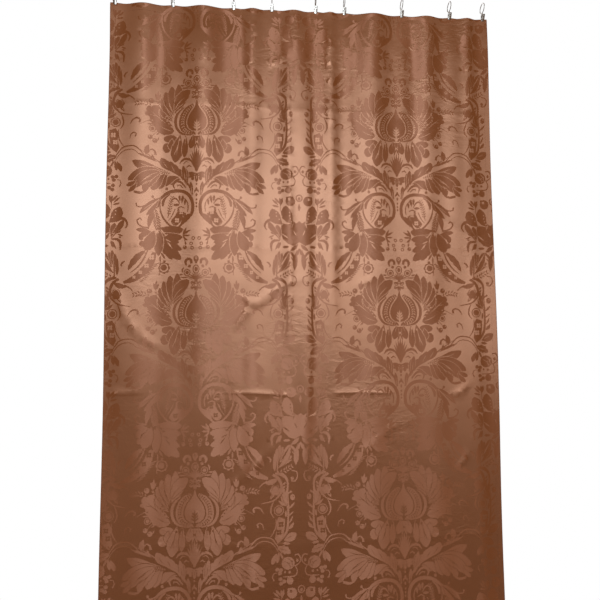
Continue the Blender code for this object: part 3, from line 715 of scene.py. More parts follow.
def forward(x, v, bow):
    """How far the hung cloth stands into the room, for places x across and depths v."""
    out = np.zeros_like(x)
    # Each bay bows between its clips, most at the header.
    fade = 0.16 + 0.84 * np.exp(-((np.maximum(v, 0) / 0.55) ** 1.4))
    for left, right in zip(CLIP_X[:-1], CLIP_X[1:]):
        s = np.clip((x - left - HELD) / (right - left - 2 * HELD), 0, 1)
        out += bow * (right - left) * np.sin(math.pi * s) ** 2 * fade
    # The clips hold the top edge, so folds and ripples grow from there.
    grip = 1 - np.exp(-((v / 0.10) ** 2))
    for rise, crest, fall, height, start, end in FOLDS:
        at = x - 0.010 * np.sin(2.1 * v + 7 * crest)
        run = smooth_step((v - start) / 0.25) * (1 - smooth_step((v - end + 0.4) / 0.4))
        up = smooth_step((at - rise) / (crest - rise)) * (1 - smooth_step((at - crest) / (fall - crest)))
        out += height * up * run * grip
    for depth, height, spans in PACKING_CREASES:
        shown = sum(smooth_step((x - a) / 0.05) * smooth_step((b - x) / 0.05) for a, b in spans)
        d = v - depth - 0.006 * np.sin(5 * x + depth) - 0.003 * np.sin(19 * x + 2)
        out += height * shown * (np.exp(-((d / 0.0045) ** 2)) + 0.8 * np.exp(-np.abs(d) / 0.025))
    for (x0, v0), (x1, v1), bend, half, height in WRINKLES:
        run = np.array([x1 - x0, v1 - v0])
        length = np.hypot(*run)
        run /= length
        t = np.clip(((x - x0) * run[0] + (v - v0) * run[1]) / length, 0, 1)
        off = -(x - x0) * run[1] + (v - v0) * run[0] - 4 * bend * t * (1 - t)
        past = np.hypot(x - x0 - run[0] * t * length, v - v0 - run[1] * t * length)
        out += height * np.exp(-((off / half) ** 2)) * np.sin(math.pi * t) ** 0.5 * (past < 0.2)
    slow = np.sin(9 * x + 2.3 * v + 1) * np.sin(3.1 * v + 4 * x)
    slow = slow + 0.6 * np.sin(17 * x - 5 * v) * np.sin(6 * v + 2)
    fine = np.sin(41 * x + 13 * v) * np.sin(23 * v - 9 * x + 1)
    fine = fine + np.sin(67 * x - 19 * v + 2) * np.sin(37 * v + 11 * x)
    out += grip * (1.6 * MM * slow + 0.22 * MM * fine)
    out += 1.3 * MM * np.sin(95 * x + 3 * np.sin(9 * x)) * np.exp(-np.maximum(v, 0) / 0.09) * grip
    edge = smooth_step((np.abs(x) - HALF_WIDTH + 0.06) / 0.06)
    return out * (1 - 0.5 * edge) + 0.004 * edge * np.sin(5 * v + 2 * np.sign(x)) * grip


def hang(u, v, back, cloth):
    """Places on the hung cloth of flat places u across and v down, a little behind its face."""
    x = u * (2 * HALF_WIDTH / cloth.flat_width)
    sag = np.zeros_like(x)
    for left, right in zip(CLIP_X[:-1], CLIP_X[1:]):
        s = np.clip((x - left) / (right - left), 0, 1)
        sag += 0.035 * (right - left) * np.sin(math.pi * s)
    z = PANEL_HIGH.z - v * (DROP / cloth.flat_drop) - sag * np.exp(-v / 0.25)
    z = np.maximum(z, PANEL_LOW.z - 2 * MM)
    y = FACE_Y - forward(x, v, cloth.bow) + back
    return np.c_[x, y, z]


def within(outline, spots):
    """Which spots lie inside an outline."""
    p = np.array(outline)
    q = np.roll(p, -1, 0)
    found = np.zeros(len(spots), bool)
    near = np.all((spots >= p.min(0)) & (spots <= p.max(0)), 1).nonzero()[0]
    x, y = spots[near, 0], spots[near, 1]
    odd = np.zeros(len(near), bool)
    for (ax, ay), (bx, by) in zip(p, q):
        if ay != by:
            odd ^= ((ay > y) != (by > y)) & (x < (bx - ax) * (y - ay) / (by - ay) + ax)
    found[near] = odd
    return found


MOST_TRIANGLES = 200000
NEAR = 2e-6  # places closer than this are the same
SNAP = 0.4  # outlines this near an edge of the repeat end on it, in millimetres


def half_repeat(cloth):
    """Half of one motif and its share of ground, cut into triangles, as a bmesh with the figure in slot 1."""
    top = SEAM_DOWN
    bottom = top + REPEAT
    points = [(0, top), (HALF_REPEAT, top), (HALF_REPEAT, bottom), (0, bottom)]
    faces, laid = [[0, 1, 2, 3]], []
    for outline, is_figure in design():
        for shift in (-REPEAT, 0, REPEAT):
            moved = [(a, b + shift) for a, b in outline]
            downs = [b for _, b in moved]
            if max(downs) < top or min(downs) > bottom:
                continue
            faces.append(list(range(len(points), len(points) + len(moved))))
            points += moved
            laid.append((moved, is_figure))
    across = round(HALF_REPEAT * MM / cloth.grid)
    down = round(REPEAT * MM / cloth.grid)
    for j in range(down + 1):
        for i in range(across + 1):
            shift = 0.5 if j % 2 and 0 < i < across else 0
            points.append((min((i + shift) * HALF_REPEAT / across, HALF_REPEAT), top + j * REPEAT / down))
    done = delaunay_2d_cdt([Vector(p) for p in points], [], faces, 0, 0.3, False)
    places = np.array([(p.x, p.y) for p in done[0]])
    for column, rims in ((0, (0, HALF_REPEAT)), (1, (top, bottom))):
        for rim in rims:
            places[np.abs(places[:, column] - rim) < SNAP, column] = rim
    middles = np.array([places[list(face)].mean(0) for face in done[2]])
    kept = ((middles > (0, top)) & (middles < (HALF_REPEAT, bottom))).all(axis=1)
    figured = np.zeros(len(middles), bool)
    for outline, is_figure in laid:
        figured[within(outline, middles)] = is_figure
    bm = bmesh.new()
    verts = [bm.verts.new((a * MM, 0, -(b * MM + cloth.first_row))) for a, b in places]
    for i in kept.nonzero()[0]:
        bm.faces.new([verts[k] for k in done[2][i]]).material_index = int(figured[i])
    loose = [v for v in bm.verts if not v.link_faces]
    bmesh.ops.delete(bm, geom=loose, context="VERTS")
    match_seam(bm, -(top * MM + cloth.first_row), -(bottom * MM + cloth.first_row))
    return bm


def match_seam(bm, first, second):
    """Gives the two edges that meet at a seam, at heights first and second, the same points along X."""
    for here, there in ((first, second), (second, first)):
        marks = sorted(v.co.x for v in bm.verts if abs(v.co.z - there) < NEAR)
        rim = [e for e in bm.edges if all(abs(v.co.z - here) < NEAR for v in e.verts)]
        for x in marks:
            for edge in rim:
                start, end = edge.verts
                low, high = sorted((start.co.x, end.co.x))
                if low + NEAR < x < high - NEAR:
                    share = (x - start.co.x) / (end.co.x - start.co.x)
                    made, new = bmesh.utils.edge_split(edge, start, share)
                    new.co = (x, 0, here)
                    rim.append(made)
                    break


def repeated(bm, step):
    """Adds a copy of everything, moved by step."""
    copy = bmesh.ops.duplicate(bm, geom=bm.verts[:] + bm.edges[:] + bm.faces[:])["geom"]
    bmesh.ops.translate(bm, verts=[v for v in copy if isinstance(v, bmesh.types.BMVert)], vec=step)


def trim(bm, place, normal, clear=True):
    """Cuts the mesh along a plane, and clears what lies beyond it."""
    geom = bm.verts[:] + bm.edges[:] + bm.faces[:]
    bmesh.ops.bisect_plane(bm, geom=geom, dist=1e-6, plane_co=place, plane_no=normal, clear_outer=clear)


def flat_cloth(cloth):
    """The whole cloth laid flat in X and Z, its top edge at z 0, with its pattern."""
    bm = half_repeat(cloth)
    geom = bm.verts[:] + bm.edges[:] + bm.faces[:]
    bmesh.ops.mirror(bm, geom=geom, merge_dist=1e-5, axis="X")
    bmesh.ops.translate(bm, verts=bm.verts[:], vec=(-HALF_REPEAT * MM - cloth.off_centre, 0, REPEAT * MM))
    repeated(bm, (0, 0, -REPEAT * MM))
    repeated(bm, (0, 0, -2 * REPEAT * MM))
    trim(bm, (0, 0, 0), (0, 0, 1))
    trim(bm, (0, 0, -cloth.flat_drop), (0, 0, -1))
    repeated(bm, (2 * HALF_REPEAT * MM, 0, 0))
    bmesh.ops.remove_doubles(bm, verts=bm.verts[:], dist=2e-5)
    half = cloth.flat_width / 2
    trim(bm, (half, 0, 0), (1, 0, 0))
    trim(bm, (-half, 0, 0), (-1, 0, 0))
    for depth, height, _ in PACKING_CREASES:
        for off in (-0.006, 0.0, 0.006) if height > MM else (0.0,):
            trim(bm, (0, 0, -depth - off), (0, 0, 1), clear=False)
    bmesh.ops.triangulate(bm, faces=[f for f in bm.faces if len(f.verts) > 3])
    bm.normal_update()
    turned = [f for f in bm.faces if f.normal.y > 0]
    bmesh.ops.reverse_faces(bm, faces=turned)
    return bm


# --- helpers ------------------------------------------------------------------------------------


def new_piece(name, bm, materials, smooth=True):
    """Puts a finished bmesh in the scene as an object."""
    mesh = bpy.data.meshes.new(name)
    bm.to_mesh(mesh)
    bm.free()
    for m in materials:
        mesh.materials.append(m)
    for polygon in mesh.polygons:
        polygon.use_smooth = smooth
    obj = bpy.data.objects.new(name, mesh)
    bpy.context.scene.collection.objects.link(obj)
    return obj


def hang_piece(obj, cloth, back):
    """Lays flat coordinates down as the UV map, in metres, then hangs the mesh. Its own y adds to back."""
    mesh = obj.data
    co = np.empty(len(mesh.vertices) * 3)
    mesh.vertices.foreach_get("co", co)
    co = co.reshape(-1, 3)
    uv = mesh.uv_layers.new(name="Flat")
    at = np.empty(len(mesh.loops), np.int32)
    mesh.loops.foreach_get("vertex_index", at)
    uv.data.foreach_set("uv", co[at][:, [0, 2]].ravel())
    hung = hang(co[:, 0], -co[:, 2], back + co[:, 1], cloth)
    mesh.vertices.foreach_set("co", hung.ravel())
    mesh.update()


def cloth_goes(obj):
    """Rides with the fixed corner clip, on a mesh of its own."""
    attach(obj, "clip_1")
    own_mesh(obj)


# --- materials ----------------------------------------------------------------------------------


def group_of(name, inputs, outputs):
    """An empty node group with its sockets, and its two end nodes."""
    group = bpy.data.node_groups.new(name, "ShaderNodeTree")
    for label, kind, value in inputs:
        socket = group.interface.new_socket(name=label, in_out="INPUT", socket_type=kind)
        socket.default_value = value
    for label, kind in outputs:
        group.interface.new_socket(name=label, in_out="OUTPUT", socket_type=kind)
    return group, group.nodes.new("NodeGroupInput"), group.nodes.new("NodeGroupOutput")


def node(tree, kind, **settings):
    """A new node. A name that starts with in_ sets an input, any other sets a property."""
    made = tree.nodes.new(kind)
    for key, value in settings.items():
        if key.startswith("in_"):
            made.inputs[key[3:].replace("_", " ")].default_value = value
        else:
            setattr(made, key, value)
    return made


def calc(tree, operation, a, b=None, clamp=False):
    """A Math node. Each input is a number or a socket."""
    made = tree.nodes.new("ShaderNodeMath")
    made.operation = operation
    made.use_clamp = clamp
    for socket, value in zip(made.inputs, (a, b)):
        if value is None:
            continue
        if isinstance(value, (int, float)):
            socket.default_value = value
        else:
            tree.links.new(value, socket)
    return made.outputs[0]


def build_thread_group():
    """Fine streaks of the threads along one direction, soft slubs and a colour that drifts a little."""
    group, given, out = group_of(
        "Woven threads",
        (
            ("Vector", "NodeSocketVector", (0, 0, 0)), ("Thread", "NodeSocketColor", (0.5, 0.5, 0.5, 1)),
            ("Across", "NodeSocketFloat", 1600.0), ("Along", "NodeSocketFloat", 60.0),
            ("Rough", "NodeSocketFloat", 0.6), ("Lift", "NodeSocketFloat", 0.0),
        ),
        (("Color", "NodeSocketColor"), ("Roughness", "NodeSocketFloat"), ("Normal", "NodeSocketVector")),
    )
    t, link = group, group.links.new
    scale = node(t, "ShaderNodeCombineXYZ")
    link(given.outputs["Across"], scale.inputs[0])
    link(given.outputs["Along"], scale.inputs[1])
    stretched = node(t, "ShaderNodeVectorMath", operation="MULTIPLY")
    link(given.outputs["Vector"], stretched.inputs[0])
    link(scale.outputs[0], stretched.inputs[1])
    threads = node(t, "ShaderNodeTexNoise", in_Scale=1.0, in_Detail=2.0, in_Roughness=0.6)
    link(stretched.outputs[0], threads.inputs["Vector"])
    # Colour: streaky threads, and a slow drift over the cloth
    drift = node(t, "ShaderNodeTexNoise", in_Scale=4.0, in_Detail=3.0)
    link(given.outputs["Vector"], drift.inputs["Vector"])
    tone = calc(t, "MULTIPLY_ADD", threads.outputs["Fac"], 0.30)
    tone.node.inputs[2].default_value = 0.85
    tone = calc(t, "MULTIPLY", tone, calc(t, "ADD", calc(t, "MULTIPLY", drift.outputs["Fac"], 0.14), 0.93))
    colour = node(t, "ShaderNodeVectorMath", operation="SCALE")
    link(given.outputs["Thread"], colour.inputs[0])
    link(tone, colour.inputs["Scale"])
    link(colour.outputs[0], out.inputs["Color"])
    rough = calc(
        t, "ADD", given.outputs["Rough"],
        calc(t, "MULTIPLY", calc(t, "SUBTRACT", threads.outputs["Fac"], 0.5), 0.16),
    )
    link(rough, out.inputs["Roughness"])
    bump = node(t, "ShaderNodeBump", in_Strength=0.35, in_Distance=0.0002)
    link(threads.outputs["Fac"], bump.inputs["Height"])
    # Small puckers, pulled sideways, in patches
    pulled = node(t, "ShaderNodeMapping", in_Scale=(1.0, 2.2, 1.0))
    link(given.outputs["Vector"], pulled.inputs["Vector"])
    crumple = node(
        t, "ShaderNodeTexNoise", in_Scale=20.0, in_Detail=3.0, in_Roughness=0.55, in_Distortion=1.4,
    )
    link(pulled.outputs[0], crumple.inputs["Vector"])
    patch = node(t, "ShaderNodeTexNoise", in_Scale=3.0, in_Detail=1.0)
    link(given.outputs["Vector"], patch.inputs["Vector"])
    creased = calc(t, "MULTIPLY", calc(t, "SUBTRACT", patch.outputs["Fac"], 0.46), 6.0, clamp=True)
    puckers = node(t, "ShaderNodeBump", in_Strength=0.6, in_Distance=0.0017)
    link(calc(t, "MULTIPLY", crumple.outputs["Fac"], creased), puckers.inputs["Height"])
    link(puckers.outputs[0], bump.inputs["Normal"])
    # Lift tips the shine of floats that lean out of the weave.
    up = node(t, "ShaderNodeCombineXYZ")
    link(given.outputs["Lift"], up.inputs[2])
    lifted = node(t, "ShaderNodeVectorMath", operation="ADD")
    link(bump.outputs[0], lifted.inputs[0])
    link(up.outputs[0], lifted.inputs[1])
    unit = node(t, "ShaderNodeVectorMath", operation="NORMALIZE")
    link(lifted.outputs[0], unit.inputs[0])
    link(unit.outputs[0], out.inputs["Normal"])
    return group


def woven(name, threads, colour, metallic, rough, sheen_pull, turn, across, along, lift, gloss=2.3):
    """A satin-faced cloth. Its threads pull the shine out to one side."""
    m = bpy.data.materials.new(name)
    m.use_nodes = True
    t = m.node_tree
    shader = t.nodes["Principled BSDF"]
    shader.inputs["Metallic"].default_value = metallic
    shader.inputs["IOR"].default_value = gloss
    shader.inputs["Anisotropic"].default_value = sheen_pull
    shader.inputs["Anisotropic Rotation"].default_value = turn
    flat = node(t, "ShaderNodeUVMap", uv_map="Flat")
    weave = node(t, "ShaderNodeGroup", node_tree=threads)
    weave.inputs["Thread"].default_value = (*colour, 1)
    weave.inputs["Across"].default_value = across
    weave.inputs["Along"].default_value = along
    weave.inputs["Rough"].default_value = rough
    weave.inputs["Lift"].default_value = lift
    t.links.new(flat.outputs[0], weave.inputs["Vector"])
    tangent = node(t, "ShaderNodeTangent", direction_type="UV_MAP", uv_map="Flat")
    t.links.new(tangent.outputs[0], shader.inputs["Tangent"])
    t.links.new(weave.outputs["Color"], shader.inputs["Base Color"])
    t.links.new(weave.outputs["Roughness"], shader.inputs["Roughness"])
    t.links.new(weave.outputs["Normal"], shader.inputs["Normal"])
    return m


def build_metal_group():
    """Fine scratches and dull patches of handled plating."""
    group, given, out = group_of(
        "Handled metal",
        (
            ("Metal", "NodeSocketColor", (0.6, 0.6, 0.6, 1)), ("Rough", "NodeSocketFloat", 0.25),
            ("Tarnish", "NodeSocketFloat", 0.3),
        ),
        (("Color", "NodeSocketColor"), ("Roughness", "NodeSocketFloat"), ("Normal", "NodeSocketVector")),
    )
    t, link = group, group.links.new
    place = node(t, "ShaderNodeTexCoord")
    patches = node(t, "ShaderNodeTexNoise", in_Scale=220.0, in_Detail=5.0, in_Roughness=0.6)
    link(place.outputs["Object"], patches.inputs["Vector"])
    long = node(t, "ShaderNodeMapping")
    long.inputs["Scale"].default_value = (1, 1, 0.06)
    link(place.outputs["Object"], long.inputs["Vector"])
    lines = node(t, "ShaderNodeTexNoise", in_Scale=5200.0, in_Detail=2.0)
    link(long.outputs[0], lines.inputs["Vector"])
    dull = calc(
        t, "MULTIPLY", calc(t, "SUBTRACT", patches.outputs["Fac"], 0.42, clamp=True),
        given.outputs["Tarnish"],
    )
    shade = calc(t, "SUBTRACT", 1.0, calc(t, "MULTIPLY", dull, 2.2), clamp=True)
    colour = node(t, "ShaderNodeVectorMath", operation="SCALE")
    link(given.outputs["Metal"], colour.inputs[0])
    link(shade, colour.inputs["Scale"])
    link(colour.outputs[0], out.inputs["Color"])
    rough = calc(t, "ADD", given.outputs["Rough"], calc(t, "MULTIPLY", dull, 1.4))
    link(calc(t, "ADD", rough, calc(t, "MULTIPLY", lines.outputs["Fac"], 0.08)), out.inputs["Roughness"])
    bump = node(t, "ShaderNodeBump", in_Strength=0.12, in_Distance=0.00004)
    link(lines.outputs["Fac"], bump.inputs["Height"])
    link(bump.outputs[0], out.inputs["Normal"])
    return group


def metal(name, handled, colour, rough, tarnish):
    """A bright plated or bare metal."""
    m = bpy.data.materials.new(name)
    m.use_nodes = True
    t = m.node_tree
    shader = t.nodes["Principled BSDF"]
    shader.inputs["Metallic"].default_value = 1.0
    wear = node(t, "ShaderNodeGroup", node_tree=handled)
    wear.inputs["Metal"].default_value = (*colour, 1)
    wear.inputs["Rough"].default_value = rough
    wear.inputs["Tarnish"].default_value = tarnish
    for label, socket in (("Color", "Base Color"), ("Roughness", "Roughness"), ("Normal", "Normal")):
        t.links.new(wear.outputs[label], shader.inputs[socket])
    return m


def finish(name):
    """A material by name."""
    if name not in bpy.data.materials:
        raise RuntimeError(f"{name} is missing: run the finishes operator first")
    return bpy.data.materials[name]


class CURTAIN_OT_finishes(bpy.types.Operator):
    """Builds the cloth, thread and metal finishes"""

    bl_idname = "curtain.finishes"
    bl_label = "Finishes"

    def execute(self, context):
        cloth, hardware = context.scene.curtain_cloth, context.scene.curtain_hardware
        threads, handled = build_thread_group(), build_metal_group()
        ground, figure = tuple(cloth.ground), tuple(cloth.figure)
        woven("Satin ground", threads, ground, 0.56, 0.47, 0.68, 0.0, 1500, 90, 0.0, gloss=3.8)
        woven("Woven figure", threads, figure, 0.42, 0.56, 0.82, 0.25, 90, 1500, 0.12, gloss=2.6)
        back = tuple(0.8 * c for c in ground)
        woven("Reverse ground", threads, back, 0.55, 0.66, 0.3, 0.25, 90, 1500, 0.0)
        woven("Reverse figure", threads, tuple(0.9 * c for c in ground), 0.6, 0.6, 0.4, 0.0, 1500, 90, 0.0)
        woven("Hem cloth", threads, ground, 0.6, 0.62, 0.4, 0.0, 1500, 90, 0.0)
        woven("Sewing thread", threads, tuple(0.75 * c for c in figure), 0.1, 0.55, 0.0, 0.0, 400, 400, 0.0)
        plating = tuple(hardware.plating)
        metal("Ring plating", handled, plating, 0.20, 0.5)
        metal("Loop plating", handled, tuple(0.96 * c for c in plating), 0.24, 0.5)
        metal("Pressed plate", handled, tuple(0.92 * c for c in plating), 0.27, 0.6)
        metal("Front plate", handled, tuple(0.97 * c for c in plating), 0.23, 0.5)
        metal("Pin steel", handled, (0.50, 0.49, 0.48), 0.30, 0.7)
        metal("Spring steel", handled, (0.34, 0.33, 0.33), 0.34, 0.8)
        return {"FINISHED"}


class CURTAIN_OT_damask(bpy.types.Operator):
    """Cuts the damask cloth, hangs it from the clips and backs it with its reverse side"""

    bl_idname = "curtain.damask"
    bl_label = "Damask cloth"

    def execute(self, context):
        cloth = context.scene.curtain_cloth
        bm = flat_cloth(cloth)
        other = bm.copy()
        face = new_piece("damask_face", bm, [finish("Satin ground"), finish("Woven figure")])
        hang_piece(face, cloth, 0.0)
        bmesh.ops.reverse_faces(other, faces=other.faces[:])
        reverse = new_piece("damask_reverse", other, [finish("Reverse ground"), finish("Reverse figure")])
        hang_piece(reverse, cloth, 0.5 * MM)
        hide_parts("face_panel")
        for piece in (face, reverse):
            cloth_goes(piece)
        if len(face.data.polygons) >= MOST_TRIANGLES:
            raise RuntimeError("the damask has too many triangles: use a coarser grid")
        return {"FINISHED"}


HEM_ROUND = 0.0012  # how far in from the edge the turn of a hem reaches
HEM_BACK = 0.9  # how much further back a hem stands away from the clips, in millimetres
CLIP_HALF = 0.012  # how far each side of a clip it holds its hem close


def hem_strip(name, cloth, start, end, depth, upright, outward):
    """A turned hem: it wraps the cloth's edge and runs behind it. Start and end are along the edge.

    Each row across it holds a distance inwards from the edge, in metres, and one behind the cloth's
    face, in millimetres.
    """
    count = max(2, round((end - start) / (11 * MM)))
    rows = [(HEM_ROUND, -0.35), (0.0, -0.10), (-0.0006, 0.35), (0.0, 0.85), (HEM_ROUND, 1.0)]
    rows += [(inward, 1.0) for inward in np.linspace(0.004, depth, max(3, round(depth / 0.009)))]
    rows += [(depth - 0.0006, 0.72)]
    bm = bmesh.new()
    bmesh.ops.create_grid(bm, x_segments=count, y_segments=len(rows) - 1, size=0.5)
    for v in bm.verts:
        along = start + (v.co.x + 0.5) * (end - start)
        inward, back = rows[round((v.co.y + 0.5) * (len(rows) - 1))]
        if upright:
            from_clip = along - HELD
        elif outward > 0:
            from_clip = min(abs(along - x * cloth.flat_width / (2 * HALF_WIDTH)) for x in CLIP_X) - CLIP_HALF
        else:
            from_clip = 1.0
        # Away from the clips' grip it stands a little further back, to clear the curved cloth.
        back += HEM_BACK * min(1, max(0, from_clip / 0.02)) * min(1, max(0, (inward - HEM_ROUND) / 0.008))
        if upright:
            v.co = (outward * (cloth.flat_width / 2 - inward), back * MM, -along)
        else:
            edge = 0.0 if outward > 0 else cloth.flat_drop
            v.co = (along, back * MM, -(edge + outward * inward))
    bm.normal_update()
    return new_piece(name, bm, [finish("Hem cloth")])


SHORT = 4 * MM  # how far a side hem or a seam stops from the corner
SEAM_INSET = 2 * MM  # how far the stitches run inside the hem's inner edge
SIDE_SEAM_TOP, SIDE_SEAM_FOOT = 0.03, 0.08  # where a side seam stops, from the top and bottom edges
STITCH_GAP, THREAD = 0.9 * MM, 0.5 * MM  # the gap between stitches, and how thick they are
PROUD = 0.4 * MM  # how far the thread stands in front of the cloth


class CURTAIN_OT_hems(bpy.types.Operator):
    """Turns the header, side and bottom hems and sews them down"""

    bl_idname = "curtain.hems"
    bl_label = "Hems and stitching"

    def execute(self, context):
        """Makes the hems and seams."""
        cloth = context.scene.curtain_cloth
        half = cloth.flat_width / 2
        hems = (
            ("header_turning", "header_hem", -half, half, cloth.hem, False, 1),
            ("bottom_turning", "bottom_hem", -half, half, cloth.bottom_hem, False, -1),
            ("left_turning", "left_side_hem", SHORT, cloth.flat_drop - SHORT, cloth.side_hem, True, -1),
            ("right_turning", "right_side_hem", SHORT, cloth.flat_drop - SHORT, cloth.side_hem, True, 1),
        )
        for name, stands_for, start, end, depth, upright, outward in hems:
            hem = hem_strip(name, cloth, start, end, depth, upright, outward)
            hang_piece(hem, cloth, 0.0)
            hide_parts(stands_for)
            cloth_goes(hem)
        top, foot = SIDE_SEAM_TOP, cloth.flat_drop - SIDE_SEAM_FOOT
        seams = (
            ("header_stitching", SHORT - half, half - SHORT, cloth.hem - SEAM_INSET, False, 1),
            ("bottom_stitching", SHORT - half, half - SHORT, cloth.bottom_hem - SEAM_INSET, False, -1),
            ("left_stitching", top, foot, cloth.side_hem - SEAM_INSET, True, -1),
            ("right_stitching", top, foot, cloth.side_hem - SEAM_INSET, True, 1),
        )
        for name, start, end, inset, upright, outward in seams:
            seam = self.sewn(name, cloth, start, end, inset, upright, outward)
            hang_piece(seam, cloth, 0.0)
            cloth_goes(seam)
        return {"FINISHED"}

    def sewn(self, name, cloth, start, end, inset, upright, outward):
        """A run of short stitches, each a small rounded dash."""
        bm = bmesh.new()
        step = cloth.stitch + STITCH_GAP
        for k in range(int((end - start) / step)):
            made = bmesh.ops.create_icosphere(bm, subdivisions=1, radius=0.5)["verts"]
            along = start + (k + 0.5) * step
            for v in made:
                run, across, out = v.co.x * cloth.stitch, v.co.z * THREAD, v.co.y * THREAD - PROUD
                if upright:
                    v.co = (outward * (cloth.flat_width / 2 - inset) + across, out, -(along + run))
                else:
                    edge = 0.0 if outward > 0 else cloth.flat_drop
                    v.co = (along + run, out, -(edge + outward * inset) + across)
        return new_piece(name, bm, [finish("Sewing thread")])


# --- clip rings ---------------------------------------------------------------------------------


def tidy_copy(name, stands_for, material, rounding):
    """A copy of a frame part with its flat faces joined up and its sharp edges rounded."""
    bm = bmesh.new()
    bm.from_mesh(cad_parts[stands_for].data)
    bmesh.ops.remove_doubles(bm, verts=bm.verts[:], dist=2e-6)
    bmesh.ops.dissolve_limit(bm, angle_limit=0.02, verts=bm.verts[:], edges=bm.edges[:])
    bm.normal_update()
    sharp = [e for e in bm.edges if len(e.link_faces) == 2 and e.calc_face_angle(0) > 0.6]
    bmesh.ops.bevel(
        bm, geom=sharp, affect="EDGES", offset=rounding, segments=2, profile=0.5, material=-1,
        clamp_overlap=True,
    )
    bmesh.ops.triangulate(bm, faces=[f for f in bm.faces if len(f.verts) > 4])
    piece = new_piece(name, bm, [material])
    piece.data.set_sharp_from_angle(angle=0.7)
    return piece


def hoop(bm, centre, radius, wire, steps, sides):
    """A wire hoop that faces along X."""
    made = bmesh.ops.create_circle(bm, segments=sides, radius=wire)["verts"]
    bmesh.ops.rotate(bm, verts=made, cent=(0, 0, 0), matrix=Matrix.Rotation(math.pi / 2, 3, "Y"))
    bmesh.ops.rotate(bm, verts=made, cent=(0, 0, 0), matrix=Matrix.Rotation(math.pi / 2, 3, "Z"))
    bmesh.ops.translate(bm, verts=made, vec=Vector(centre) + Vector((0, 0, radius)))
    edges = list(dict.fromkeys(e for v in made for e in v.link_edges))
    bmesh.ops.spin(
        bm, geom=made + edges, cent=centre, axis=(1, 0, 0), angle=2 * math.pi, steps=steps, use_merge=True
    )


def wire_along(name, points, radius, material):
    """A round wire along a closed line."""
    curve = bpy.data.curves.new(name, "CURVE")
    curve.dimensions = "3D"
    curve.bevel_depth = radius
    curve.bevel_resolution = 3
    spline = curve.splines.new("POLY")
    spline.points.add(len(points) - 1)
    for p, q in zip(spline.points, points):
        p.co = (*q, 1)
    spline.use_cyclic_u = True
    holder = bpy.data.objects.new(name, curve)
    bpy.context.scene.collection.objects.link(holder)
    bpy.context.view_layer.update()
    mesh = bpy.data.meshes.new_from_object(holder)
    bpy.data.objects.remove(holder)
    bm = bmesh.new()
    bm.from_mesh(mesh)
    bmesh.ops.remove_doubles(bm, verts=bm.verts[:], dist=1e-6)
    bmesh.ops.recalc_face_normals(bm, faces=bm.faces[:])
    return new_piece(name, bm, [material])


EYELET_WIRE, EYELET_RADIUS = 0.8 * MM, 2.3 * MM
WELD_SUNK = 0.25 * MM  # how deep the weld bead sits in the ring's wire
LOOP_WIRE, LOOP_CORNER = 0.55 * MM, 0.9 * MM


class CURTAIN_OT_clip_rings(bpy.types.Operator):
    """Models each ring with its eyelet, hanger loop and jaws, and finishes its pin and spring"""

    bl_idname = "curtain.clip_rings"
    bl_label = "Clip rings"

    def execute(self, context):
        hardware = context.scene.curtain_hardware
        for k, x in zip(CLIPS, CLIP_X):
            low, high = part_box(f"ring_{k}")
            wire = (high.x - low.x) / 2
            radius = (high.y - low.y) / 2 - wire
            bm = bmesh.new()
            hoop(bm, (x, 0, high.z - wire - radius), radius, wire, hardware.ring_steps, hardware.wire_sides)
            eye_z = low.z + EYELET_WIRE + EYELET_RADIUS
            hoop(bm, (x, 0, eye_z), EYELET_RADIUS, EYELET_WIRE, hardware.ring_steps // 2, hardware.wire_sides)
            bead = bmesh.ops.create_uvsphere(bm, u_segments=14, v_segments=8, radius=1.0)["verts"]
            bmesh.ops.scale(bm, verts=bead, vec=(0.95 * wire, 1.5 * MM, 0.55 * MM))
            weld_z = eye_z + EYELET_WIRE + EYELET_RADIUS - WELD_SUNK
            bmesh.ops.translate(bm, verts=bead, vec=(x, 0, weld_z))
            bmesh.ops.recalc_face_normals(bm, faces=bm.faces[:])
            ring = new_piece(f"ring_{k}_wire", bm, [finish("Ring plating")])
            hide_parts(f"ring_{k}")
            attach(ring, f"ring_{k}")
            for part, slot, shade, body in (
                ("back_jaw", "back_jaw_plate", "Pressed plate", "clip"),
                ("front_jaw", "front_jaw_plate", "Front plate", "jaw"),
            ):
                jaw = tidy_copy(f"{part}_{k}_plate", f"{part}_{k}", finish(shade), hardware.rounding)
                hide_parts(f"{part}_{k}")
                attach(jaw, f"{body}_{k}")
            self.hang_loop(k, x)
            for part, shade in (("pivot_pin", "Pin steel"), ("spring", "Spring steel")):
                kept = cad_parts[f"{part}_{k}"]
                kept.data.materials.clear()
                kept.data.materials.append(finish(shade))
        return {"FINISHED"}

    def hang_loop(self, k, x):
        """The wire between the eyelet and the clip: a round arch on a flat base with two small corners."""
        low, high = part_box(f"hanger_loop_{k}")
        half = (high.x - low.x) / 2 - LOOP_WIRE
        base = low.z + LOOP_WIRE + LOOP_CORNER
        y = (low.y + high.y) / 2

        def arc(middle_x, across, up, turns):
            turns = [math.radians(q) for q in turns]
            return [(x + middle_x + across * math.cos(q), y, base + up * math.sin(q)) for q in turns]

        line = arc(LOOP_CORNER - half, LOOP_CORNER, LOOP_CORNER, range(180, 271, 15))
        line += arc(half - LOOP_CORNER, LOOP_CORNER, LOOP_CORNER, range(-90, 1, 15))
        line += arc(0, half, high.z - LOOP_WIRE - base, range(6, 175, 6))
        piece = wire_along(f"hanger_loop_{k}_wire", line, LOOP_WIRE, finish("Loop plating"))
        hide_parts(f"hanger_loop_{k}")
        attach(piece, f"clip_{k}")


# --- stage --------------------------------------------------------------------------------------


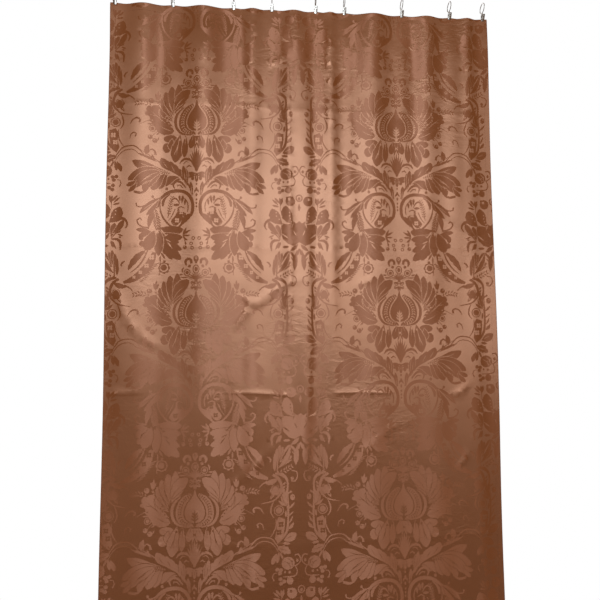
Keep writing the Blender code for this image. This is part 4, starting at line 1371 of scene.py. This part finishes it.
def pale_surface(name, colour):
    """A pale surface that shows white but gives little light back to the cloth."""
    m = bpy.data.materials.new(name)
    m.use_nodes = True
    t = m.node_tree
    shader = t.nodes["Principled BSDF"]
    out = t.nodes["Material Output"]
    shader.inputs["Base Color"].default_value = (0.30, 0.20, 0.14, 1)
    shader.inputs["Roughness"].default_value = 0.9
    shown = node(t, "ShaderNodeEmission", in_Strength=1.0)
    shown.inputs["Color"].default_value = (*colour, 1)
    ray = node(t, "ShaderNodeLightPath")
    mix = node(t, "ShaderNodeMixShader")
    t.links.new(ray.outputs["Is Camera Ray"], mix.inputs[0])
    t.links.new(shader.outputs[0], mix.inputs[1])
    t.links.new(shown.outputs[0], mix.inputs[2])
    t.links.new(mix.outputs[0], out.inputs["Surface"])
    return m


def area_light(name, place, aim, size, power, colour=(1, 1, 1)):
    """A soft rectangular light that faces a point."""
    light = bpy.data.lights.new(name, "AREA")
    light.shape = "RECTANGLE"
    light.size, light.size_y = size
    light.energy = power
    light.color = colour
    obj = bpy.data.objects.new(name, light)
    bpy.context.scene.collection.objects.link(obj)
    obj.location = place
    obj.rotation_euler = (Vector(aim) - Vector(place)).to_track_quat("-Z", "Y").to_euler()


FLOOR_SIZE, FLOOR_GAP = 6.0, 0.12


class CURTAIN_OT_stage(bpy.types.Operator):
    """Sets the floor, the soft lights and the camera"""

    bl_idname = "curtain.stage"
    bl_label = "Stage"

    def execute(self, context):
        stage = context.scene.curtain_stage
        bm = bmesh.new()
        bmesh.ops.create_grid(bm, x_segments=1, y_segments=1, size=FLOOR_SIZE)
        bmesh.ops.translate(bm, verts=bm.verts[:], vec=(0, 0, CAD_BOX[0][2] - FLOOR_GAP))
        floor = new_piece("floor", bm, [pale_surface("Pale floor", tuple(stage.backdrop))], smooth=False)
        world = bpy.data.worlds.new("Studio")
        context.scene.world = world
        world.use_nodes = True
        t = world.node_tree
        t.nodes.clear()
        out = node(t, "ShaderNodeOutputWorld")
        seen = node(t, "ShaderNodeBackground", in_Strength=1.0)
        seen.inputs["Color"].default_value = (1, 1, 1, 1)
        lit = node(t, "ShaderNodeBackground", in_Strength=0.12)
        lit.inputs["Color"].default_value = (1.0, 0.43, 0.08, 1)
        ray = node(t, "ShaderNodeLightPath")
        mix = node(t, "ShaderNodeMixShader")
        t.links.new(ray.outputs["Is Camera Ray"], mix.inputs[0])
        t.links.new(lit.outputs[0], mix.inputs[1])
        t.links.new(seen.outputs[0], mix.inputs[2])
        t.links.new(mix.outputs[0], out.inputs["Surface"])
        area_light(
            "Key", (-0.30, -4.0, 0.20), (0, 0, -1.0), (1.3, 2.3), 0.80 * stage.key_power, (0.90, 1.0, 1.06),
        )
        area_light("Low fill", (1.7, -3.8, -1.3), (0.2, 0, -1.4), (1.0, 1.0), 0.12 * stage.key_power)
        area_light("Back fill", (-0.8, 3.6, 0.6), (0, 0, -1.1), (2.4, 2.4), stage.key_power)
        camera = bpy.data.objects.new("Camera", bpy.data.cameras.new("Camera"))
        context.scene.collection.objects.link(camera)
        context.scene.camera = camera
        camera.data.sensor_width = 36
        camera.data.lens = 27.06
        camera.location = (-0.1338, -1.4984, -1.1389)
        camera.rotation_euler = [math.radians(q) for q in (93.406, 0.358, -4.273)]
        context.scene.view_settings.view_transform = "Standard"
        return {"FINISHED"}


class CURTAIN_PT_panel(bpy.types.Panel):
    bl_label = "Damask curtain"
    bl_idname = "CURTAIN_PT_panel"
    bl_space_type = "VIEW_3D"
    bl_region_type = "UI"
    bl_category = "Curtain"

    def draw(self, context):
        for settings in (
            context.scene.curtain_cloth, context.scene.curtain_hardware, context.scene.curtain_stage
        ):
            for name in settings.__annotations__:
                self.layout.prop(settings, name)
        for operator in OPERATORS:
            self.layout.operator(operator.bl_idname)


SETTINGS = (
    ("curtain_cloth", ClothSettings), ("curtain_hardware", HardwareSettings), ("curtain_stage", StageSettings)
)
OPERATORS = (
    CURTAIN_OT_finishes, CURTAIN_OT_damask, CURTAIN_OT_hems, CURTAIN_OT_clip_rings, CURTAIN_OT_stage
)


def register():
    for name, settings in SETTINGS:
        bpy.utils.register_class(settings)
        setattr(bpy.types.Scene, name, PointerProperty(type=settings))
    for kind in (*OPERATORS, CURTAIN_PT_panel):
        bpy.utils.register_class(kind)


def unregister():
    for kind in (CURTAIN_PT_panel, *reversed(OPERATORS)):
        bpy.utils.unregister_class(kind)
    for name, settings in reversed(SETTINGS):
        delattr(bpy.types.Scene, name)
        bpy.utils.unregister_class(settings)


def main():
    register()
    bpy.ops.curtain.finishes()
    bpy.ops.curtain.damask()
    bpy.ops.curtain.hems()
    bpy.ops.curtain.clip_rings()
    bpy.ops.curtain.stage()


if __name__ == "__main__":
    main()
